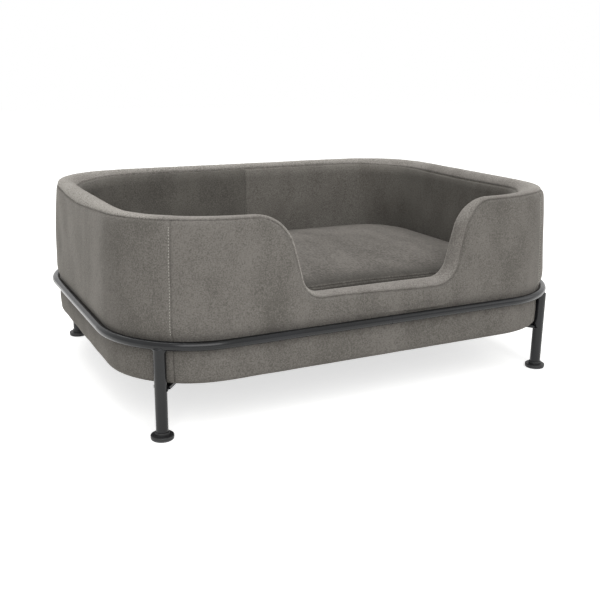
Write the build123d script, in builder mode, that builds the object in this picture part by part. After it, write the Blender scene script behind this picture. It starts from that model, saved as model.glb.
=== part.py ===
from build123d import *
import os
from math import atan, cos, pi, radians, sin, tan

# Pet bed: an upholstered tub with a low front entry, belted by a steel ring on four legs with
# screw-in levelling feet, and a loose boxed cushion inside.
# Millimetres, +Z up, the entry faces -Y, the origin is on the floor under the centre.

# Tub outline
tub_length = 700.0
tub_depth = 520.0
tub_corner_radius = 126.0
tub_base_height = 70.0
rim_height = 282.0

# Layers of the wall, from the outside in
cover_thickness = 1.5
outer_foam_thickness = 6.0
shell_thickness = 6.0
inner_foam_thickness = 21.0

# Floor of the tub
board_thickness = 15.0
cover_bottom_round = 8.0
cover_hem_width = 45.0
dust_cover_thickness = 1.0
dust_cover_margin = 18.0

# Rim, where a foam edge roll straddles the shell
rim_outer_round = 9.0
rim_inner_round = 25.0
rim_foam_depth = 26.0
shell_top_below_rim = 10.0
slot_clearance = 0.2
outer_seam_angle = 45.0
inner_seam_angle = 50.0

# Front entry, cut down through the front wall
entry_above_cushion_seam = 10.9
entry_shoulder_run = 40.5
entry_side_lean = 14.6
entry_floor_round_share = 0.244
entry_shoulder_round_share = 0.51
entry_run_out = 10.0
panel_seam_angle = 57.5

# Steel frame
ring_diameter = 12.0
ring_height = 124.5
ring_clearance = 0.3
leg_diameter = 16.0
leg_wall = 1.5
leg_angle = 50.5
leg_saddle = 2.0
weld_radius = 1.8
bracket_thickness = 4.0
bracket_width = 22.0
bracket_reach = 38.0

# Levelling foot: rubber pad, moulded base, and a stud that swivels in the base
pad_diameter = 29.0
pad_thickness = 2.5
pad_chamfer = 0.6
foot_diameter = 30.0
foot_thickness = 3.5
foot_edge_round = 1.0
foot_floor = 1.1
collar_diameter = 19.0
collar_height = 4.0
stud_diameter = 8.0
stud_head_diameter = 12.0
stud_head_height = 3.0
stud_length = 24.0
stud_tip_chamfer = 1.0
stud_clearance = 0.05
insert_length = 22.0
leg_gap = 0.3

# Screws that hold the tub to the brackets
screw_diameter = 6.0
screw_length = 19.0
screw_head_diameter = 12.0
screw_head_height = 3.3
screw_head_round = 1.2
socket_width = 4.0
socket_depth = 2.0
screw_clearance = 0.3
washer_diameter = 12.5
washer_thickness = 1.2
nut_flange_diameter = 19.0
nut_flange_thickness = 1.2
nut_barrel_diameter = 8.0
nut_barrel_length = 10.0
nut_clearance = 0.1

# Staples along the edge of the dust cover
staple_count = 52
staple_width = 10.0
staple_wire = 1.2
staple_height = 0.6
staple_margin = 9.0

# Cushion
cushion_end_gap = 10.0
cushion_side_gap = 17.0
cushion_corner_relief = 4.0
cushion_clearance = 0.3
cushion_seam_inset = 11.0
cushion_border_height = 65.0
cushion_bottom_bulge = 6.0
cushion_crown = 12.0
cushion_flat_inset = 30.0
crown_rise_shares = [0, 0.42, 0.75, 0.93, 1]
crown_reach_shares = [0, 0.11, 0.28, 0.5, 0.72]
bottom_rise_shares = [0, 0.35, 1]
bottom_reach_shares = [1, 0.4, 0]

# Zip in the back of the cushion's border
zip_corner_gap = 28.0
zip_tape_width = 26.0
zip_chain_width = 5.0
zip_chain_height = 1.8
zip_chain_round_share = 0.6
zip_end_margin = 4.0
slider_length = 11.0
slider_width = 10.0
slider_wall = 1.6
slider_clearance = 0.3
slider_round = 1.5

# A cut runs this far past the faces that it goes through
overrun = 10.0

# Insets from the tub's outer face to each layer of the wall
outer_foam_inset = cover_thickness
shell_inset = outer_foam_inset + outer_foam_thickness
inner_foam_inset = shell_inset + shell_thickness
inner_cover_inset = inner_foam_inset + inner_foam_thickness
wall_thickness = inner_cover_inset + cover_thickness

# Heights in the floor of the tub
cover_bottom = tub_base_height + dust_cover_thickness
board_bottom = cover_bottom + cover_thickness
board_top = board_bottom + board_thickness
deck_top = board_top + cover_thickness

# Below the ring the tub is drawn in, so that the thicker legs stand clear of it
waist_inset = leg_diameter - ring_diameter
waist_low = ring_height - ring_diameter / 2
waist_high = ring_height + ring_diameter / 2
waist_slope = atan(waist_inset / ring_diameter)
ring_offset = (ring_diameter / 2 + ring_clearance) / cos(waist_slope) - waist_inset / 2

# Corner centres of the tub's plan, shared by the ring, and the legs on the ring's centre line
corner_x = tub_length / 2 - tub_corner_radius
corner_y = tub_depth / 2 - tub_corner_radius
ring_corner_radius = tub_corner_radius + ring_offset
leg_x = corner_x + ring_corner_radius * cos(radians(leg_angle))
leg_y = corner_y + ring_corner_radius * sin(radians(leg_angle))
corners = {
    "front_left": (-1, -1),
    "front_right": (1, -1),
    "back_left": (-1, 1),
    "back_right": (1, 1),
}

# Heights in the levelling foot and at the ends of the legs
foot_top = pad_thickness + foot_thickness + collar_height
leg_bottom = foot_top + leg_gap
leg_top = ring_height - ring_diameter / 2 + leg_saddle
leg_inner_radius = leg_diameter / 2 - leg_wall
stud_hole_radius = stud_diameter / 2 + stud_clearance
bracket_bottom = tub_base_height - bracket_thickness
screw_radius_in_plan = ring_corner_radius - bracket_reach
screw_x = corner_x + screw_radius_in_plan * cos(radians(leg_angle))
screw_y = corner_y + screw_radius_in_plan * sin(radians(leg_angle))
screw_places = [(side * screw_x, end * screw_y) for side, end in corners.values()]
screw_hole_radius = screw_diameter / 2 + screw_clearance

# Plan and heights of the cushion, which lies in the tub with a gap all round
cushion_length = tub_length - 2 * (wall_thickness + cushion_end_gap)
cushion_depth = tub_depth - 2 * (wall_thickness + cushion_side_gap)
cushion_corner_radius = tub_corner_radius - wall_thickness - cushion_corner_relief
cushion_bottom = deck_top + cushion_clearance
low_seam = cushion_bottom + cushion_bottom_bulge
high_seam = low_seam + cushion_border_height
zip_height = (low_seam + high_seam) / 2
cushion_back = cushion_depth / 2
zip_length = cushion_length - 2 * (cushion_corner_radius + zip_corner_gap)

# The entry: its floor lies over the cushion's seam, and its shoulders end before the corners
entry_floor_height = high_seam + entry_above_cushion_seam
entry_depth = rim_height - entry_floor_height
entry_floor_round = entry_depth * entry_floor_round_share
entry_shoulder_round = entry_depth * entry_shoulder_round_share
entry_lean = radians(entry_side_lean)
entry_shoulder_tangent = entry_shoulder_round * tan((pi / 2 - entry_lean) / 2)
entry_shoulder_x = corner_x - entry_shoulder_run - entry_shoulder_tangent
entry_floor_x = entry_shoulder_x - entry_depth * tan(entry_lean)

# The pieces of the assembly, by name
pieces = {}


# The tub's plan, drawn in by an inset
def tub_plan(inset, mode=Mode.ADD):
    RectangleRounded(
        tub_length - 2 * inset,
        tub_depth - 2 * inset,
        tub_corner_radius - inset,
        mode=mode,
    )


# A block with the tub's outer form: narrow below the ring, wide above it, round at the bottom edge
def tub_block(inset, low, high, bottom_round=0):
    with BuildPart() as block:
        with BuildSketch(Plane.XY.offset(low)):
            tub_plan(inset + waist_inset)
        extrude(amount=waist_low - low)
        if bottom_round > 0:
            fillet(block.edges().group_by(Axis.Z)[0], radius=bottom_round)
        with BuildSketch(Plane.XY.offset(waist_low)):
            tub_plan(inset + waist_inset)
        with BuildSketch(Plane.XY.offset(waist_high)):
            tub_plan(inset)
        loft(ruled=True)
        with BuildSketch(Plane.XY.offset(waist_high)):
            tub_plan(inset)
        extrude(amount=high - waist_high)
    return block.part


# Corners and radii of the rim line over the front wall, moved into the wall by a drop
def entry_line(drop):
    spread = drop * (1 - sin(entry_lean)) / cos(entry_lean)
    floor_x = entry_floor_x + spread
    shoulder_x = entry_shoulder_x + spread
    end_x = shoulder_x + entry_shoulder_tangent + entry_run_out
    top = rim_height - drop
    floor = entry_floor_height - drop
    points = [(-end_x, top), (-shoulder_x, top), (-floor_x, floor)]
    points += [(floor_x, floor), (shoulder_x, top), (end_x, top)]
    shoulder_round = entry_shoulder_round - drop
    floor_round = entry_floor_round + drop
    return points, [shoulder_round, floor_round, floor_round, shoulder_round]


# The space over the rim line, from the front of the tub back to its middle
def entry_cut(drop):
    points, rounds = entry_line(drop)
    with BuildPart() as cut:
        with BuildSketch(Plane.XZ):
            with BuildLine():
                FilletPolyline(*points, radius=rounds)
                Polyline(
                    points[-1],
                    (points[-1][0], rim_height + overrun),
                    (points[0][0], rim_height + overrun),
                    points[0],
                )
            make_face()
        extrude(amount=tub_depth / 2 + overrun)
    return cut.part


# Rim section in u, across the wall from its outer face, and v, up from the rim line
def rim_contour(inset, depth, mode=Mode.ADD):
    half = wall_thickness / 2
    outer_x = inset - half
    inner_x = half - inset
    outer_centre = (rim_outer_round - half, -rim_outer_round)
    inner_centre = (half - rim_inner_round, -rim_inner_round)
    with BuildLine() as contour:
        Line((outer_x, -depth), (outer_x, -rim_outer_round))
        CenterArc(outer_centre, rim_outer_round - inset, 90, 90)
        Line((outer_centre[0], -inset), (inner_centre[0], -inset))
        CenterArc(inner_centre, rim_inner_round - inset, 0, 90)
        Line((inner_x, -rim_inner_round), (inner_x, -depth))
        Line((inner_x, -depth), (outer_x, -depth))
    make_face(contour.edges(), mode=mode)


# A wedge with its tip at a centre, between two directions
def wedge(centre, reach, start, end, mode):
    points = [centre]
    for angle in (start, end):
        points.append((centre[0] + reach * cos(radians(angle)), centre[1] + reach * sin(radians(angle))))
    Polygon(*points, align=None, mode=mode)


# The cover's section over the rim, and the parts of it on either side of the two seams
def cover_section(part_name):
    half = wall_thickness / 2
    outer_centre = (rim_outer_round - half, -rim_outer_round)
    inner_centre = (half - rim_inner_round, -rim_inner_round)
    outer_wedge = (outer_centre, 2 * rim_outer_round, 180 - outer_seam_angle, 180)
    inner_wedge = (inner_centre, 2 * rim_inner_round, 0, 90 - inner_seam_angle)
    rim_contour(0, rim_foam_depth)
    rim_contour(cover_thickness, rim_foam_depth + overrun, Mode.SUBTRACT)
    if part_name == "outer_curl":
        wedge(*outer_wedge, Mode.INTERSECT)
    if part_name == "inner_curl":
        wedge(*inner_wedge, Mode.INTERSECT)
    if part_name == "band":
        wedge(*outer_wedge, Mode.SUBTRACT)
        wedge(*inner_wedge, Mode.SUBTRACT)
        with Locations((-half, -rim_outer_round), (half, -rim_inner_round)):
            Rectangle(
                2 * cover_thickness,
                2 * rim_inner_round,
                align=(Align.CENTER, Align.MAX),
                mode=Mode.SUBTRACT,
            )


# The edge roll's section: full to the cover, with a slot over the shell's top edge
def foam_section():
    half = wall_thickness / 2
    rim_contour(cover_thickness, rim_foam_depth)
    slot_top = -shell_top_below_rim + slot_clearance
    with Locations((shell_inset + shell_thickness / 2 - half, slot_top)):
        Rectangle(
            shell_thickness + 2 * slot_clearance,
            rim_foam_depth,
            align=(Align.CENTER, Align.MAX),
            mode=Mode.SUBTRACT,
        )


# A strip with one section, swept over the whole rim: round the tub, then down through the entry
def rim_strip(section, *part_names):
    points, rounds = entry_line(0)
    end_x = points[-1][0]
    path_x = (tub_length - wall_thickness) / 2
    path_y = (tub_depth - wall_thickness) / 2
    path_radius = tub_corner_radius - wall_thickness / 2
    with BuildPart() as strip:
        with BuildLine(Plane.XY.offset(rim_height)) as round_path:
            FilletPolyline(
                (end_x, -path_y),
                (path_x, -path_y),
                (path_x, path_y),
                (-path_x, path_y),
                (-path_x, -path_y),
                (-end_x, -path_y),
                radius=path_radius,
            )
        with BuildSketch(Plane((end_x, -path_y, rim_height), x_dir=(0, 1, 0), z_dir=(1, 0, 0))):
            section(*part_names)
        sweep(path=round_path.wires()[0])
        with BuildLine(Plane.XZ.offset(path_y)) as entry_path:
            FilletPolyline(*points, radius=rounds)
        with BuildSketch(Plane((-end_x, -path_y, rim_height), x_dir=(0, 1, 0), z_dir=(1, 0, 0))):
            section(*part_names)
        sweep(path=entry_path.wires()[0])
    return strip.part


# An upright layer of the wall between two insets, cut away over the rim line
def wall_layer(outer_inset, inner_inset, low, drop):
    with BuildPart() as layer:
        with BuildSketch(Plane.XY.offset(low)):
            tub_plan(outer_inset)
            tub_plan(inner_inset, Mode.SUBTRACT)
        extrude(amount=rim_height - drop - low)
        add(entry_cut(drop), mode=Mode.SUBTRACT)
    return layer.part


# Four round columns on the screws' axes, added or cut
def screw_columns(radius, low, high, mode=Mode.ADD):
    with BuildSketch(Plane.XY.offset(low)) as columns:
        with Locations(*screw_places):
            Circle(radius)
    extrude(columns.sketch, amount=high - low, mode=mode)


# A loft through rounded rectangles of the cushion's plan, each with a height and an inset
def cushion_loft(levels):
    with BuildPart() as body:
        for height, inset in levels:
            with BuildSketch(Plane.XY.offset(height)):
                RectangleRounded(
                    cushion_length - 2 * inset,
                    cushion_depth - 2 * inset,
                    cushion_corner_radius * (1 - 2 * inset / cushion_depth),
                )
        loft()
    return body.part


def keep(name, part):
    part.label = name
    pieces[name] = part


# Frame ring: a round bar bent to the tub's plan, its ends butt welded
with BuildPart() as frame_ring:
    with BuildLine(Plane.XY.offset(ring_height)) as ring_path:
        FilletPolyline(
            (-tub_length / 2 - ring_offset, -tub_depth / 2 - ring_offset),
            (tub_length / 2 + ring_offset, -tub_depth / 2 - ring_offset),
            (tub_length / 2 + ring_offset, tub_depth / 2 + ring_offset),
            (-tub_length / 2 - ring_offset, tub_depth / 2 + ring_offset),
            radius=ring_corner_radius,
            close=True,
        )
    ring_wire = ring_path.wires()[0]
    with BuildSketch(Plane(ring_wire @ 0, z_dir=ring_wire % 0)):
        Circle(ring_diameter / 2)
    sweep(path=ring_wire)
keep("frame_ring", frame_ring.part)

# Each corner has a leg with its insert, a bracket under the tub, and a levelling foot
for corner, (side, end) in corners.items():
    axis_x = side * leg_x
    axis_y = end * leg_y

    # Leg: a tube with a closed top, coped to the ring
    with BuildPart() as leg:
        with BuildSketch(Plane.XY.offset(leg_bottom)):
            with Locations((axis_x, axis_y)):
                Circle(leg_diameter / 2)
        extrude(amount=leg_top - leg_bottom)
        with BuildSketch(Plane.XY.offset(leg_bottom)):
            with Locations((axis_x, axis_y)):
                Circle(leg_inner_radius)
        extrude(amount=leg_top - leg_wall - leg_bottom, mode=Mode.SUBTRACT)
        add(frame_ring.part, mode=Mode.SUBTRACT)
    keep("leg_" + corner, leg.part)

    # Threaded insert, pressed into the leg's lower end
    with BuildPart() as leg_insert:
        with BuildSketch(Plane.XY.offset(leg_bottom)):
            with Locations((axis_x, axis_y)):
                Circle(leg_inner_radius)
                Circle(stud_hole_radius, mode=Mode.SUBTRACT)
        extrude(amount=insert_length)
    keep("leg_insert_" + corner, leg_insert.part)

    # Bracket: a round-ended plate, coped to the leg and reaching in under the tub's floor
    inward = Vector(-side * cos(radians(leg_angle)), -end * sin(radians(leg_angle)), 0)
    with BuildPart() as bracket:
        with BuildSketch(Plane((axis_x, axis_y, bracket_bottom), x_dir=inward, z_dir=(0, 0, 1))):
            with Locations((leg_diameter / 4, 0)):
                Rectangle(
                    bracket_reach - leg_diameter / 4,
                    bracket_width,
                    align=(Align.MIN, Align.CENTER),
                )
            with Locations((bracket_reach, 0)):
                Circle(bracket_width / 2)
                Circle(screw_hole_radius, mode=Mode.SUBTRACT)
            Circle(leg_diameter / 2, mode=Mode.SUBTRACT)
        extrude(amount=bracket_thickness)
    keep("bracket_" + corner, bracket.part)

    # Pad: the rubber disc that stands on the floor
    with BuildPart() as foot_pad:
        with BuildSketch():
            with Locations((axis_x, axis_y)):
                Circle(pad_diameter / 2)
        extrude(amount=pad_thickness)
        chamfer(foot_pad.edges().group_by(Axis.Z)[0], length=pad_chamfer)
    keep("foot_pad_" + corner, foot_pad.part)

    # Base: a turned disc with a collar, hollow for the stud's head
    head_low = pad_thickness + foot_floor
    head_high = head_low + stud_head_height
    with BuildPart() as foot_base:
        with BuildSketch(Plane((axis_x, axis_y, 0), x_dir=(1, 0, 0), z_dir=(0, -1, 0))):
            with BuildLine():
                Polyline(
                    (0, pad_thickness),
                    (foot_diameter / 2, pad_thickness),
                    (foot_diameter / 2, pad_thickness + foot_thickness - foot_edge_round),
                )
                JernArc(
                    (foot_diameter / 2, pad_thickness + foot_thickness - foot_edge_round),
                    (0, 1),
                    foot_edge_round,
                    90,
                )
                Polyline(
                    (foot_diameter / 2 - foot_edge_round, pad_thickness + foot_thickness),
                    (collar_diameter / 2, pad_thickness + foot_thickness),
                    (collar_diameter / 2, foot_top - foot_edge_round),
                )
                JernArc((collar_diameter / 2, foot_top - foot_edge_round), (0, 1), foot_edge_round, 90)
                Polyline(
                    (collar_diameter / 2 - foot_edge_round, foot_top),
                    (0, foot_top),
                    (0, pad_thickness),
                )
            make_face()
            with Locations((0, head_low - stud_clearance)):
                Rectangle(
                    stud_head_diameter / 2 + stud_clearance,
                    stud_head_height + 2 * stud_clearance,
                    align=(Align.MIN, Align.MIN),
                    mode=Mode.SUBTRACT,
                )
            with Locations((0, head_high)):
                Rectangle(
                    stud_hole_radius,
                    foot_top - head_high,
                    align=(Align.MIN, Align.MIN),
                    mode=Mode.SUBTRACT,
                )
        revolve(axis=Axis((axis_x, axis_y, 0), (0, 0, 1)))
    keep("foot_base_" + corner, foot_base.part)

    # Stud: the head turns in the base, and the shank screws into the insert
    with BuildPart() as foot_stud:
        with BuildSketch(Plane.XY.offset(head_low)):
            with Locations((axis_x, axis_y)):
                Circle(stud_head_diameter / 2)
        extrude(amount=stud_head_height)
        with BuildSketch(Plane.XY.offset(head_high)):
            with Locations((axis_x, axis_y)):
                Circle(stud_diameter / 2)
        extrude(amount=stud_length)
        chamfer(foot_stud.edges().group_by(Axis.Z)[-1], length=stud_tip_chamfer)
    keep("foot_stud_" + corner, foot_stud.part)

# Welds: a bead outside each leg's top under the ring, and one under each bracket
with BuildPart() as frame_welds:
    for corner, (side, end) in corners.items():
        axis = Axis((side * leg_x, end * leg_y, 0), (0, 0, 1))
        outward = Vector(side * cos(radians(leg_angle)), end * sin(radians(leg_angle)), 0)
        sideways = outward.rotate(Axis.Z, -90)
        for start, height in ((sideways, leg_top), (-sideways, bracket_bottom)):
            with BuildSketch(Plane(axis.position, x_dir=start, z_dir=start.rotate(Axis.Z, -90))):
                with Locations((leg_diameter / 2, height)):
                    Circle(weld_radius)
            revolve(axis=axis, revolution_arc=180)
    add(frame_ring.part, mode=Mode.SUBTRACT)
    for corner, (side, end) in corners.items():
        with BuildSketch(Plane.XY.offset(leg_bottom)):
            with Locations((side * leg_x, end * leg_y)):
                Circle(leg_diameter / 2)
        extrude(amount=leg_top + weld_radius - leg_bottom, mode=Mode.SUBTRACT)
        add(pieces["bracket_" + corner], mode=Mode.SUBTRACT)
keep("frame_welds", frame_welds.part)

# Base board: plywood, its lower edge rounded, bored for the tee nuts
with BuildPart() as base_board:
    with BuildSketch(Plane.XY.offset(board_bottom)):
        tub_plan(shell_inset)
    extrude(amount=board_thickness)
    board_round = waist_inset + cover_bottom_round - shell_inset
    fillet(base_board.edges().group_by(Axis.Z)[0], radius=board_round)
    barrel_radius = nut_barrel_diameter / 2 + nut_clearance
    flange_radius = nut_flange_diameter / 2 + nut_clearance
    screw_columns(barrel_radius, board_bottom, board_top, Mode.SUBTRACT)
    screw_columns(flange_radius, board_top - nut_flange_thickness, board_top, Mode.SUBTRACT)
keep("base_board", base_board.part)

# Wall shell: a band of bent plywood on the board's edge, cut down at the entry
keep("wall_shell", wall_layer(shell_inset, inner_foam_inset, board_top, shell_top_below_rim))

# Inner foam: the thick padding inside the shell
keep("inner_foam", wall_layer(inner_foam_inset, inner_cover_inset, board_top, rim_foam_depth))

# Outer foam: a thin sheet round the shell, drawn in under the ring
with BuildPart() as outer_foam:
    foam_low = cover_bottom + cover_bottom_round
    add(tub_block(outer_foam_inset, foam_low, rim_height - rim_foam_depth))
    with BuildSketch(Plane.XY.offset(foam_low)):
        tub_plan(shell_inset)
    extrude(amount=rim_height - foam_low, mode=Mode.SUBTRACT)
    add(entry_cut(rim_foam_depth), mode=Mode.SUBTRACT)
keep("outer_foam", outer_foam.part)

# Rim foam: the edge roll over the shell's top edge
keep("rim_foam", rim_strip(foam_section))

# Outer cover: the cloth outside, from the seam on the rim to a hem turned in under the board
with BuildPart() as outer_cover:
    cover_high = rim_height - rim_outer_round
    add(tub_block(0, cover_bottom, cover_high, cover_bottom_round))
    inner_round = cover_bottom_round - cover_thickness
    add(tub_block(cover_thickness, board_bottom, rim_height, inner_round), mode=Mode.SUBTRACT)
    with BuildSketch(Plane.XY.offset(cover_bottom)):
        tub_plan(waist_inset + cover_hem_width)
    extrude(amount=cover_thickness, mode=Mode.SUBTRACT)
    add(entry_cut(rim_outer_round), mode=Mode.SUBTRACT)
    add(rim_strip(cover_section, "outer_curl"))
    screw_columns(screw_hole_radius, cover_bottom, board_bottom, Mode.SUBTRACT)

# The front panel lies between the seams at the front corners, and the back panel is the rest
with BuildPart() as front_region:
    seam_reach = 2 * tub_corner_radius
    seam_x = corner_x + seam_reach * cos(radians(panel_seam_angle))
    seam_y = corner_y + seam_reach * sin(radians(panel_seam_angle))
    with BuildSketch():
        Polygon(
            (-corner_x, -corner_y),
            (-seam_x, -seam_y),
            (seam_x, -seam_y),
            (corner_x, -corner_y),
            align=None,
        )
    extrude(amount=rim_height + overrun)

with BuildPart() as outer_front_panel:
    add(outer_cover.part)
    add(front_region.part, mode=Mode.INTERSECT)
keep("outer_front_panel", outer_front_panel.part)

with BuildPart() as outer_back_panel:
    add(outer_cover.part)
    add(front_region.part, mode=Mode.SUBTRACT)
keep("outer_back_panel", outer_back_panel.part)

# Rim cover: the band of cloth between the two seams of the rim
keep("rim_cover", rim_strip(cover_section, "band"))

# Inner cover: the cloth inside, in two panels joined at the middle of the back and the front
for panel, side in (("left", -1), ("right", 1)):
    with BuildPart() as inner_panel:
        add(wall_layer(inner_cover_inset, wall_thickness, board_top, rim_inner_round))
        add(rim_strip(cover_section, "inner_curl"))
        with BuildSketch():
            with Locations((side * tub_length / 2, 0)):
                Rectangle(tub_length, tub_depth)
        extrude(amount=rim_height, mode=Mode.INTERSECT)
    keep("inner_" + panel + "_panel", inner_panel.part)

# Deck cover: the cloth on the board, under the cushion
with BuildPart() as deck_cover:
    with BuildSketch(Plane.XY.offset(board_top)):
        tub_plan(wall_thickness)
    extrude(amount=cover_thickness)
keep("deck_cover", deck_cover.part)

# Dust cover: thin black cloth under the hem and the board
with BuildPart() as dust_cover:
    with BuildSketch(Plane.XY.offset(tub_base_height)):
        tub_plan(waist_inset + dust_cover_margin)
    extrude(amount=dust_cover_thickness)
    screw_columns(screw_hole_radius, tub_base_height, cover_bottom, Mode.SUBTRACT)
keep("dust_cover", dust_cover.part)

# Staples: their crowns lie along the dust cover's edge, evenly spaced but for the brackets' paths
staple_inset = waist_inset + dust_cover_margin + staple_margin
with BuildLine(Plane.XY.offset(tub_base_height)) as staple_path:
    FilletPolyline(
        (staple_inset - tub_length / 2, staple_inset - tub_depth / 2),
        (tub_length / 2 - staple_inset, staple_inset - tub_depth / 2),
        (tub_length / 2 - staple_inset, tub_depth / 2 - staple_inset),
        (staple_inset - tub_length / 2, tub_depth / 2 - staple_inset),
        radius=tub_corner_radius - staple_inset,
        close=True,
    )
staple_route = staple_path.wires()[0]
with BuildPart() as dust_cover_staples:
    for index in range(staple_count):
        share = (index + 0.5) / staple_count
        point = staple_route @ share
        heading = staple_route % share
        across_x = (leg_x - abs(point.X)) * sin(radians(leg_angle))
        across_y = (leg_y - abs(point.Y)) * cos(radians(leg_angle))
        if abs(across_x - across_y) < (bracket_width + staple_width) / 2 + staple_wire:
            continue
        with BuildSketch(Plane(point, x_dir=heading, z_dir=(0, 0, 1))):
            Rectangle(staple_width, staple_wire)
        extrude(amount=-staple_height)
keep("dust_cover_staples", dust_cover_staples.part)

# Screws: pan heads under the brackets, shanks up through the floor
head_high = bracket_bottom - washer_thickness
with BuildPart() as mounting_screws:
    screw_columns(screw_head_diameter / 2, head_high - screw_head_height, head_high)
    fillet(mounting_screws.edges().group_by(Axis.Z)[0], radius=screw_head_round)
    screw_columns(screw_diameter / 2, head_high, head_high + screw_length)
    with BuildSketch(Plane.XY.offset(head_high - screw_head_height)):
        with Locations(*screw_places):
            RegularPolygon(socket_width / 2, 6, major_radius=False)
    extrude(amount=socket_depth, mode=Mode.SUBTRACT)
keep("mounting_screws", mounting_screws.part)

# Washers, between the screw heads and the brackets
with BuildPart() as mounting_washers:
    screw_columns(washer_diameter / 2, head_high, bracket_bottom)
    screw_columns(screw_hole_radius, head_high, bracket_bottom, Mode.SUBTRACT)
keep("mounting_washers", mounting_washers.part)

# Tee nuts, let into the board from above
with BuildPart() as tee_nuts:
    screw_columns(nut_barrel_diameter / 2, board_top - nut_barrel_length, board_top)
    screw_columns(nut_flange_diameter / 2, board_top - nut_flange_thickness, board_top)
    nut_bore_radius = screw_diameter / 2 + nut_clearance
    screw_columns(nut_bore_radius, board_top - nut_barrel_length, board_top, Mode.SUBTRACT)
keep("tee_nuts", tee_nuts.part)


# Heights and insets of the cushion's three stretches, for its outside or its core
def crown_levels(skin):
    reach = cushion_depth / 2 - cushion_seam_inset
    levels = []
    for rise, share in zip(crown_rise_shares, crown_reach_shares):
        sunk = skin if rise > 0 else 0
        levels.append((high_seam + cushion_crown * rise - sunk, cushion_seam_inset + skin + reach * share))
    return levels


def border_levels(skin):
    return [
        (low_seam, cushion_seam_inset + skin),
        (zip_height, skin),
        (high_seam, cushion_seam_inset + skin),
    ]


def bottom_levels(skin):
    reach = cushion_flat_inset - cushion_seam_inset
    levels = []
    for rise, share in zip(bottom_rise_shares, bottom_reach_shares):
        height = cushion_bottom + skin + (cushion_bottom_bulge - skin) * rise
        levels.append((height, cushion_seam_inset + skin + reach * share))
    return levels


# Cushion core: the foam block, with its crown, drawn-in sides and slightly domed underside
core_stretches = [levels(cover_thickness) for levels in (bottom_levels, border_levels, crown_levels)]
with BuildPart() as cushion_core:
    for stretch in core_stretches:
        add(cushion_loft(stretch))
keep("cushion_core", cushion_core.part)

# Cushion top and bottom panels, sewn to the border at the seams
for panel, levels in (("top", crown_levels), ("bottom", bottom_levels)):
    with BuildPart() as cushion_panel:
        add(cushion_loft(levels(0)))
        add(cushion_loft(levels(cover_thickness)), mode=Mode.SUBTRACT)
    keep("cushion_" + panel + "_panel", cushion_panel.part)

# Cushion border, with a window in its back for the zip, and the tape that fills the window
for piece, mode in (("cushion_border", Mode.SUBTRACT), ("zip_tape", Mode.INTERSECT)):
    with BuildPart() as border_piece:
        add(cushion_loft(border_levels(0)))
        add(cushion_loft(border_levels(cover_thickness)), mode=Mode.SUBTRACT)
        with BuildSketch(Plane.XY.offset(zip_height - zip_tape_width / 2)):
            with Locations((0, cushion_back)):
                Rectangle(zip_length, 2 * cushion_seam_inset)
        extrude(amount=zip_tape_width, mode=mode)
    keep(piece, border_piece.part)

# Zip chain: the closed rows of teeth, as one rounded strip on the tape
chain_length = zip_length - 2 * zip_end_margin
with BuildPart() as zip_chain:
    with BuildSketch(Plane.YZ.offset(-chain_length / 2)):
        with Locations((cushion_back, zip_height)):
            Rectangle(zip_chain_height, zip_chain_width, align=(Align.MIN, Align.CENTER))
    extrude(amount=chain_length)
    outer_edges = zip_chain.edges().filter_by(Axis.X).group_by(Axis.Y)[-1]
    fillet(outer_edges, radius=zip_chain_height * zip_chain_round_share)
keep("zip_chain", zip_chain.part)

# Zip slider: a pull-less body that straddles the chain, at the closed end
slider_x = (chain_length - slider_length) / 2
slider_low = cushion_back + slider_clearance
slider_depth = zip_chain_height + slider_wall
with BuildPart() as zip_slider:
    with BuildSketch(Plane.YZ.offset(slider_x - slider_length / 2)):
        with Locations((slider_low, zip_height)):
            Rectangle(slider_depth, slider_width, align=(Align.MIN, Align.CENTER))
            Rectangle(
                zip_chain_height,
                zip_chain_width + 2 * slider_clearance,
                align=(Align.MIN, Align.CENTER),
                mode=Mode.SUBTRACT,
            )
    extrude(amount=slider_length)
    slider_sides = zip_slider.edges().filter_by(Axis.Y).group_by(Axis.Z)
    fillet(slider_sides[0] + slider_sides[-1], radius=slider_round)
keep("zip_slider", zip_slider.part)

os.makedirs("parts", exist_ok=True)
for name, part in pieces.items():
    export_step(part, "parts/" + name + ".step")
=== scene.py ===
import math
import bpy
import numpy as np
from mathutils import Matrix, Vector


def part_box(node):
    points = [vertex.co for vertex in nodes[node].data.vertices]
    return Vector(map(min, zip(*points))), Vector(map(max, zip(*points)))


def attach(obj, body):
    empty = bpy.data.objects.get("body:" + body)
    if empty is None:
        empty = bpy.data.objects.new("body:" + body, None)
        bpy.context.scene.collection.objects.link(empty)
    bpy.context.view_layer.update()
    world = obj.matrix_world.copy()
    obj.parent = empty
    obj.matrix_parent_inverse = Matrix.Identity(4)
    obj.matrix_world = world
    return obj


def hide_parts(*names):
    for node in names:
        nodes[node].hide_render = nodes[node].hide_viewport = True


# Pet bed: velvet tub with a low entry, a steel ring frame and a loose cushion.
# Metres, +Z up, the entry faces -Y, the origin is on the floor under the centre.

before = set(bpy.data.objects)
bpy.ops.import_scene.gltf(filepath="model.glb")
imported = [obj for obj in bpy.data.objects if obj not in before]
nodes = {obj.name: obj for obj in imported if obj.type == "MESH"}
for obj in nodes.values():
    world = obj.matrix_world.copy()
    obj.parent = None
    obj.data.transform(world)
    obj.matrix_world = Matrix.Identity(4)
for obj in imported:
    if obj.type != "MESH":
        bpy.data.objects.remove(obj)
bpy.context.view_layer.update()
print("frame loaded,", len(nodes), "CAD nodes")


# A bump of height 1 that falls away on both sides
def bell(distance, width):
    return np.exp(-(distance / width) ** 2)


# A share from 0 to 1 with both ends eased
def smoothShare(share):
    return share * share * (3 - 2 * share)


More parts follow.
